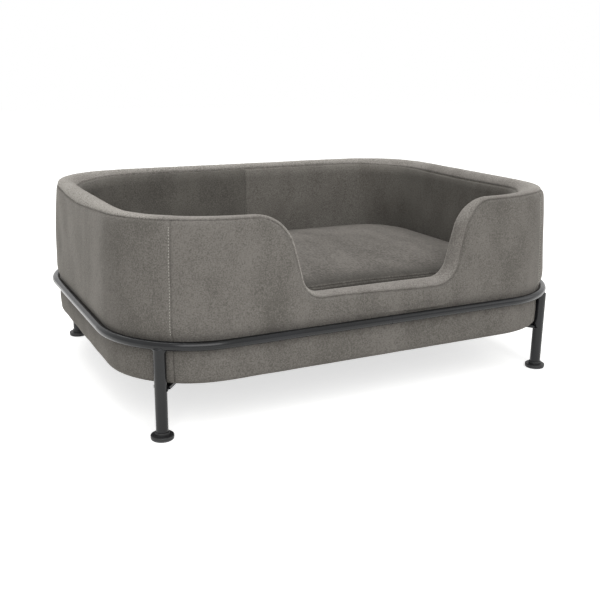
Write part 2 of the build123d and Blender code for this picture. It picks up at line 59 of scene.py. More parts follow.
# Deselects all but these pieces, and makes the first one active
def selectOnly(*pieces):
    bpy.ops.object.select_all(action="DESELECT")
    for piece in pieces:
        piece.select_set(True)
    if pieces:
        bpy.context.view_layer.objects.active = pieces[0]


# Runs one edit-mode operator on a whole piece
def editWhole(piece, operator, **settings):
    selectOnly(piece)
    bpy.ops.object.mode_set(mode="EDIT")
    bpy.ops.mesh.select_all(action="SELECT")
    operator(**settings)
    bpy.ops.object.mode_set(mode="OBJECT")


def readPoints(piece):
    points = np.zeros(len(piece.data.vertices) * 3)
    piece.data.vertices.foreach_get("co", points)
    return points.reshape(-1, 3)


def writePoints(piece, points):
    piece.data.vertices.foreach_set("co", points.astype(np.float32).ravel())
    piece.data.update()


# Camera, fitted to the photo

camera = {
    "place": (-0.6006, -1.1906, 0.4636),
    "yaw": 0.472,       # turned from +Y towards +X
    "pitch": 0.276,     # looking down
    "roll": 0.010,
    "lens": 50.61,
    "sensor": 36.0,
}


def addCamera():
    yaw, pitch, roll = camera["yaw"], camera["pitch"], camera["roll"]
    forward = Vector((math.sin(yaw) * math.cos(pitch), math.cos(yaw) * math.cos(pitch), -math.sin(pitch)))
    level = Vector((math.cos(yaw), -math.sin(yaw), 0))
    upright = level.cross(forward)
    right = level * math.cos(roll) + upright * math.sin(roll)
    up = upright * math.cos(roll) - level * math.sin(roll)
    bpy.ops.object.camera_add()
    shot = bpy.context.object
    shot.name = "camera"
    shot.data.lens = camera["lens"]
    shot.data.sensor_width = camera["sensor"]
    turn = Matrix((right, up, -forward)).transposed()
    shot.matrix_world = Matrix.Translation(camera["place"]) @ turn.to_4x4()
    bpy.context.scene.camera = shot


addCamera()
print("camera placed")

# Materials


def linear(hexColour):
    channels = [int(hexColour[i:i + 2], 16) / 255 for i in (1, 3, 5)]
    return [c / 12.92 if c <= 0.04045 else ((c + 0.055) / 1.055) ** 2.4 for c in channels] + [1]


# Adds a node to a material or a world, with values in its inputs and links into them
def addNode(owner, kind, values=None, links=None, **settings):
    node = owner.node_tree.nodes.new(kind)
    for name, value in settings.items():
        setattr(node, name, value)
    for name, value in (values or {}).items():
        node.inputs[name].default_value = value
    for name, socket in (links or {}).items():
        owner.node_tree.links.new(socket, node.inputs[name])
    return node


def newMaterial(name):
    material = bpy.data.materials.new(name)
    material.use_nodes = True
    shader = material.node_tree.nodes["Principled BSDF"]
    place = addNode(material, "ShaderNodeTexCoord").outputs["Object"]
    return material, shader, place


def join(owner, socket, shader, name):
    owner.node_tree.links.new(socket, shader.inputs[name])


velvet = {
    "upNap": ("#5f5c57", "#7c7873"),      # shaded and lit pile, brushed up
    "rightNapPaintedShade": ("#5f5b56", "#78756f"),    # a darker copy for the right inner panel: painted shade for the inside of the tub
    "leftNapPaintedShade": ("#55524e", "#6e6b65"),    # and a darker one again for the left inner panel: painted shade
    "cushionNap": ("#4c4945", "#716d68"),
    "rimNapPaintedLight": ("#6c6863", "#8c8883"),     # a lighter copy of the velvet for the roll: painted highlight where it catches the light
    "paintedHighlight": "#afaba4",                 # painted highlight, mixed in where the bend attribute is above zero
    "paintedShade": "#3a3834",                 # painted shade, mixed in where the bend attribute is below zero
    "patch": 0.055,                       # hand marks in the nap
    "streak": 0.016,                      # brushed streaks
    "clump": 0.0060,                      # pile that leans together
    "tuft": 0.0017,                       # tufts, really about 0.4 mm, drawn coarser to show
    "shares": (0.46, 0.14, 0.12, 0.82),   # how much each of these four marks the colour
    "sheen": 0.32,
    "sheenRoughness": 0.32,
    "sheenTint": "#e9e4dc",
    "roughness": 0.92,
    "specular": 0.15,
    "pileHeight": 0.0006,
}
noiseSpan = (0.35, 0.65)                  # where a noise has reached its dark and its light tone


# Velvet: cut-pile polyester; matt, with nap patches, a grain of tufts and a pale sheen at its edges
def velvetMaterial(name, tones, stretch=(1, 1, 0.55), grain=(1, 1, 1)):
    material, shader, place = newMaterial(name)
    mapped = addNode(material, "ShaderNodeMapping", {"Scale": stretch}, {"Vector": place}).outputs["Vector"]
    fine = addNode(material, "ShaderNodeMapping", {"Scale": grain}, {"Vector": place}).outputs["Vector"]
    marks = None
    layers = {}
    for layer, share in zip(("patch", "streak", "clump", "tuft"), velvet["shares"]):
        where = mapped if layer in ("patch", "streak") else fine
        size = {"Scale": 1 / velvet[layer], "Detail": 2.5}
        layers[layer] = addNode(material, "ShaderNodeTexNoise", size, {"Vector": where}).outputs["Fac"]
        links = {0: layers[layer]}
        centred = addNode(material, "ShaderNodeMath", {1: 0.5}, links, operation="SUBTRACT").outputs[0]
        links = {0: centred, 2: marks} if marks else {0: centred}
        values = {1: share} if marks else {1: share, 2: 0.5}
        marks = addNode(material, "ShaderNodeMath", values, links, operation="MULTIPLY_ADD").outputs[0]
    low, high = noiseSpan
    ramp = addNode(material, "ShaderNodeValToRGB", None, {"Fac": marks})
    for stop, position, tone in zip(ramp.color_ramp.elements, (low, high), tones):
        stop.position, stop.color = position, linear(tone)
    # the bend attribute paints highlight above zero, speckled by its tufts, and paints shade below zero
    bend = addNode(material, "ShaderNodeAttribute", attribute_name="bend").outputs["Fac"]
    span, links = {"From Min": low, "From Max": high}, {"Value": layers["tuft"]}
    speck = addNode(material, "ShaderNodeMapRange", span, links).outputs["Result"]
    colour = ramp.outputs["Color"]
    for tone, values, links in (
        (velvet["paintedHighlight"], None, {0: bend, 1: speck}),
        (velvet["paintedShade"], {1: -1.0}, {0: bend}),
    ):
        turned = addNode(material, "ShaderNodeMath", values, links, operation="MULTIPLY", use_clamp=True)
        links = {"Factor": turned.outputs[0], "A": colour}
        mixed = addNode(material, "ShaderNodeMix", {"B": linear(tone)}, links, data_type="RGBA")
        colour = mixed.outputs["Result"]
    join(material, colour, shader, "Base Color")
    shader.inputs["Roughness"].default_value = velvet["roughness"]
    shader.inputs["Specular IOR Level"].default_value = velvet["specular"]
    shader.inputs["Sheen Weight"].default_value = velvet["sheen"]
    shader.inputs["Sheen Roughness"].default_value = velvet["sheenRoughness"]
    shader.inputs["Sheen Tint"].default_value = linear(velvet["sheenTint"])
    links = {0: layers["clump"], 2: layers["tuft"]}
    height = addNode(material, "ShaderNodeMath", {1: 0.5}, links, operation="MULTIPLY_ADD").outputs[0]
    lift = {"Strength": 0.5, "Distance": velvet["pileHeight"]}
    bump = addNode(material, "ShaderNodeBump", lift, {"Height": height})
    join(material, bump.outputs["Normal"], shader, "Normal")
    return material


coat = {
    "tones": ("#101112", "#16171a"),
    "roughness": (0.17, 0.24),
    "cloud": 0.05,          # slow unevenness of the coat
    "peel": 0.0011,         # the orange peel's grain
    "peelHeight": 0.0003,
    "specular": 0.38,
}


# Powder-coated steel: near-black satin polyester coat with a fine orange peel
def powderCoat(name):
    material, shader, place = newMaterial(name)
    size = {"Scale": 1 / coat["peel"], "Detail": 2}
    peel = addNode(material, "ShaderNodeTexNoise", size, {"Vector": place}).outputs["Fac"]
    size = {"Scale": 1 / coat["cloud"], "Detail": 3}
    cloud = addNode(material, "ShaderNodeTexNoise", size, {"Vector": place}).outputs["Fac"]
    ramp = addNode(material, "ShaderNodeValToRGB", None, {"Fac": cloud})
    for stop, position, tone in zip(ramp.color_ramp.elements, noiseSpan, coat["tones"]):
        stop.position, stop.color = position, linear(tone)
    span = {"To Min": coat["roughness"][0], "To Max": coat["roughness"][1]}
    rough = addNode(material, "ShaderNodeMapRange", span, {"Value": cloud}).outputs["Result"]
    lift = {"Strength": 0.12, "Distance": coat["peelHeight"]}
    bump = addNode(material, "ShaderNodeBump", lift, {"Height": peel})
    join(material, ramp.outputs["Color"], shader, "Base Color")
    join(material, rough, shader, "Roughness")
    join(material, bump.outputs["Normal"], shader, "Normal")
    shader.inputs["Specular IOR Level"].default_value = coat["specular"]
    return material


# Plain things: one noise breaks up the colour and the gloss, and lifts the surface a little
def grainMaterial(name, dark, light, grain, roughness, height, metallic=0, stretch=(1, 1, 1)):
    material, shader, place = newMaterial(name)
    mapped = addNode(material, "ShaderNodeMapping", {"Scale": stretch}, {"Vector": place}).outputs["Vector"]
    size = {"Scale": 1 / grain, "Detail": 4}
    noise = addNode(material, "ShaderNodeTexNoise", size, {"Vector": mapped}).outputs["Fac"]
    ramp = addNode(material, "ShaderNodeValToRGB", None, {"Fac": noise})
    for stop, position, tone in zip(ramp.color_ramp.elements, noiseSpan, (dark, light)):
        stop.position, stop.color = position, linear(tone)
    span = {"To Min": roughness - 0.06, "To Max": roughness + 0.06}
    rough = addNode(material, "ShaderNodeMapRange", span, {"Value": noise}).outputs["Result"]
    bump = addNode(material, "ShaderNodeBump", {"Strength": 0.4, "Distance": height}, {"Height": noise})
    join(material, ramp.outputs["Color"], shader, "Base Color")
    join(material, rough, shader, "Roughness")
    join(material, bump.outputs["Normal"], shader, "Normal")
    shader.inputs["Metallic"].default_value = metallic
    return material


outerVelvet = velvetMaterial("velvet_brushed_up", velvet["upNap"])
innerVelvet = velvetMaterial("velvet_painted_shade", velvet["rightNapPaintedShade"])
sideVelvet = velvetMaterial("velvet_painted_deeper_shade", velvet["leftNapPaintedShade"])
rimVelvet = velvetMaterial("velvet_painted_light", velvet["rimNapPaintedLight"])
# the cushion's cloth is brushed from front to back
cushionVelvet = velvetMaterial("velvet_cushion", velvet["cushionNap"], (1.2, 0.5, 1), (0.8, 0.3, 1))
blackCoat = powderCoat("steel_powder_coated")

# Finishes with one grain: dark and light tone, size of the grain, roughness, height of the grain
finishes = {
    "nylon_moulded": ("#1a1a1b", "#242425", 0.004, 0.52, 0.00008),      # black, half matt from the mould
    "rubber_pad": ("#47474a", "#5c5c5e", 0.0012, 0.85, 0.0002),         # mid grey and quite matt
    "steel_zinc_plated": ("#a9a9a3", "#c2c2bb", 0.003, 0.34, 0.00005),  # pale metal with a soft shine
    "plywood_birch": ("#b08a5c", "#cfab7b", 0.010, 0.62, 0.0002),       # warm wood, its grain drawn out
    "foam_polyurethane": ("#cbbf9b", "#e2d8b8", 0.0015, 0.95, 0.0006),  # cream, dry and open-celled
    "lining_spunbond": ("#17171a", "#26262a", 0.002, 0.9, 0.0002),      # thin black fleece
    "zip_tape_woven": ("#5a5853", "#6a6862", 0.0012, 0.85, 0.0002),     # ribbed, near the velvet's tone
    "zip_nylon_coil": ("#55534e", "#6b6963", 0.0015, 0.45, 0.0003),     # a half shiny coil
    "zip_slider_painted": ("#4d4b47", "#5d5b56", 0.002, 0.4, 0.00005),  # half gloss paint on metal
    "thread_polyester": ("#a3a199", "#bebcb4", 0.0005, 0.7, 0.0001),    # pale, so that stitches stand out
}
grainWays = {
    "steel_zinc_plated": {"metallic": 1},
    "plywood_birch": {"stretch": (0.15, 1, 2)},
    "zip_tape_woven": {"stretch": (0.4, 1, 1)},
    "zip_nylon_coil": {"stretch": (1, 0.1, 0.1)},
}
plain = {name: grainMaterial(name, *values, **grainWays.get(name, {})) for name, values in finishes.items()}

nodeMaterials = {
    "frame_": blackCoat,
    "leg_": blackCoat,
    "bracket_": blackCoat,
    "leg_insert_": plain["steel_zinc_plated"],
    "foot_base_": plain["nylon_moulded"],
    "foot_pad_": plain["rubber_pad"],
    "foot_stud_": plain["steel_zinc_plated"],
    "mounting_": plain["steel_zinc_plated"],
    "tee_nuts": plain["steel_zinc_plated"],
    "dust_cover_staples": plain["steel_zinc_plated"],
    "base_board": plain["plywood_birch"],
    "wall_shell": plain["plywood_birch"],
    "inner_foam": plain["foam_polyurethane"],
    "outer_foam": plain["foam_polyurethane"],
    "rim_foam": plain["foam_polyurethane"],
    "cushion_core": plain["foam_polyurethane"],
    "zip_chain": plain["zip_nylon_coil"],
    "zip_slider": plain["zip_slider_painted"],
}


# A node takes the material of the longest name that it starts with, and any other is cloth
def dressNodes():
    for name, node in nodes.items():
        found = [key for key in nodeMaterials if name.startswith(key)]
        node.data.materials.clear()
        node.data.materials.append(nodeMaterials[max(found, key=len)] if found else outerVelvet)


dressNodes()
print("materials made")

# The tub's cloth

panelLow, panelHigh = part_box("outer_back_panel")
ringLow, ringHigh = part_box("frame_ring")

tub = {
    "halfLength": panelHigh.x,
    "halfDepth": panelHigh.y,
    "rim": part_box("rim_cover")[1].z,
    "bottom": panelLow.z,
    "cornerRadius": 0.126,
    "wall": 0.036,
    "waist": 0.134,         # where the barrelled wall meets the lower part behind the ring
    "tuck": 0.112,          # and the lower part falls straight again
    "bottomRound": 0.008,
    "hems": (0.004, 0.010, 0.018, 0.028),
    "entryFloor": 0.1712,
    "entryFloorHalf": 0.1110,
    "entryLean": 14.6,
    "floorRound": 0.027,
    "shoulderRound": 0.0565,
    "entryEnd": 0.1935,
    "seamAngle": 57.5,
    "frontSag": 0.0018,     # the rim dips a little towards the entry's shoulders
    "sagFrom": 0.185,
    "sagRun": 0.06,
    "cornerEase": 0.010,    # the padding spreads each turn into a corner over this run
    "columnStep": 0.0026,
    "fallDepth": 0.031,     # below this depth under the rim line the cloth's columns fall straight
}
ring = {
    "height": (ringLow.z + ringHigh.z) / 2,
    "radius": (ringHigh.z - ringLow.z) / 2,
}
cornerX = tub["halfLength"] - tub["cornerRadius"]
cornerY = tub["halfDepth"] - tub["cornerRadius"]
cornerRun = tub["cornerRadius"] * math.pi / 2
perimeter = 4 * (cornerX + cornerY + cornerRun)
seamT = cornerX + tub["cornerRadius"] * math.radians(90 - tub["seamAngle"])
frontCorner = cornerX + 0.5 * cornerRun
backCorner = cornerX + 1.5 * cornerRun + 2 * cornerY


# Places round the tub, counted both ways from the middle of the front
def folded(t):
    return (t + perimeter / 2) % perimeter - perimeter / 2


# The plan as straight sides and arcs: t runs from the middle of the front to the right
def exactPlan(t):
    side, t = np.sign(t + 1e-12), np.abs(t)
    angle = np.full_like(t, -math.pi / 2)
    angle = angle + np.clip((t - cornerX) / cornerRun, 0, 1) * math.pi / 2
    angle = angle + np.clip((t - cornerX - cornerRun - 2 * cornerY) / cornerRun, 0, 1) * math.pi / 2
    x = np.minimum(t, cornerX) - np.clip(t - cornerX - 2 * cornerRun - 2 * cornerY, 0, cornerX)
    y = np.clip(t - cornerX - cornerRun, 0, 2 * cornerY) - cornerY
    reach = tub["cornerRadius"]
    return side * (x + np.cos(angle) * reach), y + np.sin(angle) * reach


# The same line with its turns eased, and its direction out of the tub
def easePlan():
    t = np.linspace(-perimeter / 2, perimeter / 2, 3000, endpoint=False)
    step = t[1] - t[0]
    reach = int(3 * tub["cornerEase"] / step)
    spread = np.exp(-0.5 * (np.arange(-reach, reach + 1) * step / tub["cornerEase"]) ** 2)
    spread /= spread.sum()
    wrapped = [np.concatenate([line[-reach:], line, line[:reach]]) for line in exactPlan(t)]
    x, y = (np.convolve(line, spread, mode="valid") for line in wrapped)
    alongX, alongY = np.roll(x, -1) - np.roll(x, 1), np.roll(y, -1) - np.roll(y, 1)
    size = np.hypot(alongX, alongY)
    return t, x, y, alongY / size, -alongX / size


planT, *planLines = easePlan()


# A point of the plan, with an inset into the wall
def planPoint(t, inset):
    x, y, outX, outY = (np.interp(t, planT, line, period=perimeter) for line in planLines)
    return x - outX * inset, y - outY * inset


# The rim line's corners as straight runs and arcs in X and Z, with its normal out of the wall
def entryLine():
    lean = math.radians(tub["entryLean"])
    drop = tub["rim"] - tub["entryFloor"]
    shoulderX = tub["entryFloorHalf"] + drop * math.tan(lean)
    bend = math.pi / 2 - lean
    points = []

    def straight(a, b, count, normal):
        for share in np.linspace(0, 1, count, endpoint=False):
            points.append((a[0] + (b[0] - a[0]) * share, a[1] + (b[1] - a[1]) * share, *normal))

    def arc(centre, radius, start, end, count, out):
        for share in np.linspace(0, 1, count, endpoint=False):
            a = start + (end - start) * share
            x, z = math.cos(a), math.sin(a)
            points.append((centre[0] + radius * x, centre[1] + radius * z, out * x, out * z))

    shoulder = tub["shoulderRound"]
    floor = tub["floorRound"]
    tangent, floorTangent = shoulder * math.tan(bend / 2), floor * math.tan(bend / 2)
    step = tub["columnStep"]
    leanX, leanZ = math.sin(lean), math.cos(lean)
    startX = -(shoulderX + tangent)
    straight((-tub["entryEnd"], tub["rim"]), (startX, tub["rim"]), 5, (0, 1))
    arc((startX, tub["rim"] - shoulder), shoulder, math.pi / 2, lean, int(shoulder * bend / step * 1.2), 1)
    a = (-shoulderX + leanX * tangent, tub["rim"] - leanZ * tangent)
    b = (-tub["entryFloorHalf"] - leanX * floorTangent, tub["entryFloor"] + leanZ * floorTangent)
    straight(a, b, max(3, int((a[1] - b[1]) / step)), (leanZ, leanX))
    floorX = -tub["entryFloorHalf"] + floorTangent
    count = int(floor * bend / step * 1.6)
    arc((floorX, tub["entryFloor"] + floor), floor, math.pi + lean, 1.5 * math.pi, count, -1)
    count = int((tub["entryFloorHalf"] - floorTangent) / step)
    straight((floorX, tub["entryFloor"]), (0, tub["entryFloor"]), count, (0, 1))
    left = np.array(points)
    right = left[::-1].copy()
    right[:, 0] *= -1
    right[:, 2] *= -1
    return np.vstack([left, [(0, tub["entryFloor"], 0, 1)], right])


# Stations round the rim, from the middle of the back over the left side, the entry and the right side
def rimStations():
    count = int((perimeter / 2 - tub["entryEnd"]) / tub["columnStep"])
    left = np.linspace(-perimeter / 2, -tub["entryEnd"], count, endpoint=False)
    entry = entryLine()
    length = np.concatenate([[0], np.cumsum(np.hypot(np.diff(entry[:, 0]), np.diff(entry[:, 1])))])
    bottom = entry[:, 0] - entry[:, 2] * tub["fallDepth"]
    t = np.concatenate([left, entry[:, 0], -left[::-1]])
    z = np.concatenate([np.full(count, tub["rim"]), entry[:, 1], np.full(count, tub["rim"])])
    height = np.clip((z - tub["entryFloor"]) / (tub["rim"] - tub["entryFloor"]), 0, 1)
    z = z - tub["frontSag"] * height * bell(np.abs(t) - tub["sagFrom"], tub["sagRun"])
    nx = np.concatenate([np.zeros(count), entry[:, 2], np.zeros(count)])
    nz = np.concatenate([np.ones(count), entry[:, 3], np.ones(count)])
    low = np.concatenate([left, bottom, -left[::-1]])
    length -= length[-1] / 2
    beside = -left[::-1] - tub["entryEnd"] + length[-1]
    run = np.concatenate([left + tub["entryEnd"] - length[-1], length, beside])
    return {"t": t, "z": z, "nx": nx, "nz": nz, "low": low, "run": run}


stations = rimStations()


def pick(chosen):
    return {key: value[chosen] for key, value in stations.items()}


# Soft bands of waves with fixed seeds, for puckers along a seam and hollows in the padding
def waves(run, spacing, seed, octaves=4):
    source = np.random.default_rng(seed)
    total = np.zeros_like(run)
    for _ in range(octaves):
        wavelength = spacing * source.uniform(0.7, 1.5)
        total += np.sin(run * 2 * math.pi / wavelength + source.uniform(0, 6.28))
    return total / octaves


softness = {
    "seamDepth": 0.0018,      # how far the cloth turns in at a seam
    "seamWidth": 0.0017,
    "shoulder": 0.0007,       # the padding eases down towards a seam
    "shoulderWidth": 0.008,
    "pucker": 0.00045,
    "puckerSpacing": 0.009,
    "puckerReach": 0.006,
    "hollow": 0.0007,         # unevenness of the padding
    "hollowSpread": (0.16, 0.11, 0.07),     # their size along the wall, up it and on a slant
    "quiet": 0.012,           # within this distance of a seam the padding is even
    "curl": 0.0038,           # the outer face curls in towards the rim
    "curlReach": 0.014,
    "cloth": 0.0012,
}


def seamDip(distance):
    near = softness["seamDepth"] * bell(distance, softness["seamWidth"])
    return near + softness["shoulder"] * np.exp(-distance / softness["shoulderWidth"])


def puckers(distance, run, seed):
    fade = np.exp(-distance / softness["puckerReach"]) * (1 - np.exp(-distance / softness["cloth"]))
    return softness["pucker"] * waves(run, softness["puckerSpacing"], seed) * fade


# The outer face at heights in millimetres, and its inset in tenths: drawn in under the rim, barrelled
# above the ring, and nearly straight below it
barrel = {
    79: 10, 96: 2, 110: 8, 116.5: 12, 121: 8, 124.5: 6, 128: 6, 131: 4, 135: -8, 140: -24, 146: -32,
    155: -30, 175: -18, 200: -6, 220: 4, 241: 18, 254: 30, 267: 42, 273: 48, 282: 66,
}


def barrelInset(z):
    knots, values = np.array(list(barrel)) * 0.001, np.array(list(barrel.values())) * 0.0001
    fine = np.linspace(knots[0], knots[-1], 400)
    rough = np.interp(fine, knots, values)
    kernel = np.hanning(13) / np.hanning(13).sum()
    padded = np.pad(rough, 6, mode="edge")
    return np.interp(z, fine, np.convolve(padded, kernel, mode="valid"))


def curlInset(depth):
    return softness["curl"] * np.clip(1 - depth / softness["curlReach"], 0, 1) ** 2


def hollows(t, z, seed):
    along, up, slanted = softness["hollowSpread"]
    spread = waves(t, along, seed, 3) * waves(z, up, seed + 1, 2)
    spread = spread + 0.5 * waves(t + 0.6 * z, slanted, seed + 2, 3)
    return softness["hollow"] * spread


# How far each place is from the nearest of some upright seams
def besideSeams(t, seams):
    return np.minimum(*[np.abs(folded(t - seam)) for seam in seams])


# A grid of cloth laid on rows and columns of points; bend says where highlight is painted on its pile, or
# painted shade below zero
def clothGrid(name, points, bend=None):
    rows, columns = points.shape[:2]
    selectOnly()
    bpy.ops.mesh.primitive_grid_add(x_subdivisions=columns - 1, y_subdivisions=rows - 1, size=1)
    piece = bpy.context.object
    piece.name = piece.data.name = name
    flat = readPoints(piece)
    column = np.rint((flat[:, 0] + 0.5) * (columns - 1)).astype(int)
    row = np.rint((flat[:, 1] + 0.5) * (rows - 1)).astype(int)
    writePoints(piece, points[row, column])
    if bend is not None:
        attribute = piece.data.attributes.new("bend", "FLOAT", "POINT")
        attribute.data.foreach_set("value", np.clip(bend[row, column], -1, 1).astype(np.float32))
    return piece


# Joins the ends of a cloth that goes all the way round
def closeCloth(piece):
    editWhole(piece, bpy.ops.mesh.remove_doubles, threshold=0.00002)


def applyModifier(piece, kind, **settings):
    bpy.context.view_layer.objects.active = piece
    modifier = piece.modifiers.new(kind.lower(), kind)
    for name, value in settings.items():
        setattr(modifier, name, value)
    bpy.ops.object.modifier_apply(modifier=modifier.name)


# Turns the cloth's faces to look along a direction
def faceCloth(piece, outward):
    selectOnly(piece)
    faces = piece.data.polygons
    normals, centres = np.zeros(len(faces) * 3), np.zeros(len(faces) * 3)
    faces.foreach_get("normal", normals)
    faces.foreach_get("center", centres)
    if (normals.reshape(-1, 3) * outward(centres.reshape(-1, 3))).sum() < 0:
        editWhole(piece, bpy.ops.mesh.flip_normals)


# Gives the cloth its thickness, inwards, and smooths it
def finishCloth(piece, outward, thickness=None):
    faceCloth(piece, outward)
    applyModifier(piece, "SOLIDIFY", thickness=thickness or softness["cloth"], offset=-1)
    bpy.ops.object.shade_smooth()


def fromCentre(centres):
    away = centres.copy()
    away[:, 2] = 0
    return away


def towardsCentre(centres):
    return -fromCentre(centres)


def upwards(centres):
    return np.tile((0.0, 0.0, 1.0), (len(centres), 1))


def downwards(centres):
    return -upwards(centres)


def dress(piece, material, body, slotName, *replaced):
    piece.data.materials.clear()
    piece.data.materials.append(material)
    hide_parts(*replaced)
    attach(piece, body)
    return piece


outerSeam = {"down": 0.0024, "entryLeft": 0.0046, "entryRight": 0.0090, "crest": 0.0165}
sideSeam = {"down": 0.0118, "place": cornerX + cornerRun + 1.2 * cornerY, "spread": 0.15, "shallow": 0.4}
innerSeamAngle = {"back": 46, "side": 30, "place": cornerX + cornerRun + 0.9 * cornerY, "spread": 0.20}
innerRound = 0.025
innerWall = {
    "belly": 0.0016,        # the padding stands out a little under the seam
    "bellyTop": 0.85,
    "shadeSide": 0.32,       # how much painted shade the right panel has along the side
    "shadeBack": 0.42,       # and how much of that it loses along the back, so that a faint painted highlight is left there
    "shadeFrom": cornerX + 1.1 * cornerRun + 2 * cornerY,
    "shadeRun": 0.16,
}
uprightSeams = {"outer": (0.16, 0.5), "inner": (0.6, 0.4)}      # depth and puckers against the rim's seams
innerSeamShift = 3          # the inner back seam lies this many columns right of the middle

# Rows of cloth beside a seam, close together where it turns in, in tenths of a millimetre
depthRows = np.array([0, 5, 10, 16, 24, 34, 48, 66, 90, 120, 155, 195, 240, 290]) * 0.0001


# Which stations lie on the tub's sides, from 0 to 1
def alongSide(t):
    return bell(np.abs(folded(t)) - sideSeam["place"], sideSeam["spread"])


# The outer seam runs close under the rim, and a little lower round the entry and along the sides
def outerSeamDown(part):
    share = np.clip((tub["rim"] - part["z"]) / 0.02, 0, 1)
    toRight = np.clip(0.5 + part["t"] / 0.12, 0, 1)
    entry = outerSeam["entryLeft"] + (outerSeam["entryRight"] - outerSeam["entryLeft"]) * toRight
    down = outerSeam["down"] + sideSeam["down"] * alongSide(part["t"])
    return down + (entry - outerSeam["down"]) * share


# Cloth outside the wall: from the rim's outer seam down over the ring and under the board
def outerPanel(name, part, seams, seed):
    t, z, nx, nz, low, run = (part[key][None, :] for key in ("t", "z", "nx", "nz", "low", "run"))
    down = outerSeamDown(part)[None, :]
    depth = down + depthRows[:, None]
    topT, topZ = t - nx * depth, z - nz * depth
    share = np.linspace(0, 1, 30)[1:, None]
    midT = topT[-1] + (low - topT[-1]) * share
    waist, tuck = tub["waist"], tub["tuck"]
    midZ = topZ[-1] + (waist - topZ[-1]) * share
    edgeZ = tub["bottom"] + tub["bottomRound"]
    lowZ = np.concatenate([np.linspace(waist, tuck, 13)[1:], np.linspace(tuck, edgeZ, 9)[1:]])[:, None]
    lowT, lowZ = low + 0 * lowZ, lowZ + 0 * low
    allT, allZ = np.vstack([topT, midT, lowT]), np.vstack([topZ, midZ, lowZ])
    allDepth = np.vstack([depth + 0 * t, np.full_like(midT, 1.0), np.full_like(lowT, 1.0)])
    inset = barrelInset(allZ) + curlInset(allDepth)
    seamDistance = allDepth - down
    shallow = 1 - sideSeam["shallow"] * alongSide(allT)
    inset = inset + shallow * (seamDip(seamDistance) + puckers(seamDistance, run + 0 * allT, seed))
    side = besideSeams(allT, seams)
    dipShare, puckerShare = uprightSeams["outer"]
    inset = inset + dipShare * seamDip(side) + puckerShare * puckers(side, allZ, seed + 5)
    quiet = 1 - bell(allZ - ring["height"], softness["quiet"])
    quiet = quiet * (1 - np.exp(-side / softness["quiet"]))
    inset = inset + hollows(allT, allZ, seed + 9) * quiet
    x, y = planPoint(allT, inset)
    upper = np.stack([x, y, allZ], axis=-1)
    # the bottom edge's round and the hem under the board
    bottomRound = tub["bottomRound"]
    edge = inset[-1]
    rows = []
    for a in np.linspace(0, math.pi / 2, 8)[1:]:
        x, y = planPoint(low[0], edge + bottomRound * (1 - math.cos(a)))
        rows.append(np.stack([x, y, np.full_like(x, edgeZ - bottomRound * math.sin(a))], axis=-1))
    for hem in tub["hems"]:
        x, y = planPoint(low[0], edge + bottomRound + hem)
        rows.append(np.stack([x, y, np.full_like(x, tub["bottom"])], axis=-1))
    return clothGrid(name, np.vstack([upper, np.array(rows)]))


# The inner seam runs lower along the sides than along the back
def seamAngle(t):
    away = np.abs(folded(t))
    near = bell(away - innerSeamAngle["place"], innerSeamAngle["spread"])
    near = near * np.clip((away - tub["entryEnd"]) / 0.08, 0, 1)
    return innerSeamAngle["back"] + (innerSeamAngle["side"] - innerSeamAngle["back"]) * near


# The foam bunches inwards where the roll is bent round a corner
rimSwell = {"front": 0.018, "back": 0.018, "spread": 0.085}


def swellInwards(t):
    away = np.abs(folded(t))
    front = rimSwell["front"] * bell(away - frontCorner, rimSwell["spread"])
    return front + rimSwell["back"] * bell(away - backCorner, rimSwell["spread"])


# The roll's section at every station, from the outer seam over the crest to the inner seam
def rimSection(part, count):
    half = tub["wall"] / 2
    down = outerSeamDown(part)[None, :]
    face = barrelInset((part["z"] - part["nz"] * down[0])[None, :]) + curlInset(down)
    rise = np.radians(np.linspace(0, 90, count, endpoint=False))[:, None]
    outerU = face + (outerSeam["crest"] - face) * (1 - np.cos(rise))
    outerV = -down * (1 - np.sin(rise))
    fall = np.radians(90 + (seamAngle(part["t"])[None, :] - 90) * np.linspace(0, 1, count + 8)[:, None])
    wall = tub["wall"] + swellInwards(part["t"])[None, :]
    innerU = outerSeam["crest"] + (wall - outerSeam["crest"]) * np.cos(fall)
    innerV = innerRound * (np.sin(fall) - 1)
    return np.vstack([outerU, innerU]) - half, np.vstack([outerV, innerV])


# The wall's middle line at a station, with directions across the wall and out of it
def stationFrame(part):
    half = tub["wall"] / 2
    x, y = planPoint(part["t"], half)
    innerX, innerY = planPoint(part["t"], half + 0.001)
    middle = np.stack([x, y, part["z"]], axis=-1)
    across = np.stack([(innerX - x) / 0.001, (innerY - y) / 0.001, np.zeros_like(x)], axis=-1)
    out = np.stack([part["nx"], np.zeros_like(x), part["nz"]], axis=-1)
    return middle, across, out


# The band creases along its inner side where it turns the back corners, and is pieced at the right
rimFold = {
    "spread": 0.085,
    "depth": 0.0008,
    "width": 0.0011,
    "creases": ((0.0050, 61), (0.0095, 62), (0.0150, 63)),      # distance from the inner seam, seed
    "wander": 0.0012,
    "joint": cornerX + 1.2 * cornerRun + 2 * cornerY,
    "jointShare": 0.35,     # how deep the joint is beside a seam
    "fill": 0.0006,         # the roll's own fullness
}

# Where highlight is painted on the band's pile, and shade in its outer seam's groove, as distances from a
# seam, and how strong it is there
rimPaintedLight = {
    "crest": 0.013,
    "crestAside": 0.007,    # along the sides, where the seam is lower
    "crestWidth": 0.009,
    "widerAside": 0.006,
    "crestLight": 0.2,
    "lighterAside": 0.75,
    "groove": 0.003,
    "narrowerAside": 0.0018,
    "grooveShade": 0.35,
    "byEntry": 0.005,
    "entryWidth": 0.0035,
    "entryLight": 0.9,
    "byInside": 0.006,
    "insideWidth": 0.007,
    "insideLight": 0.4,
    "inCorner": 0.15,
}


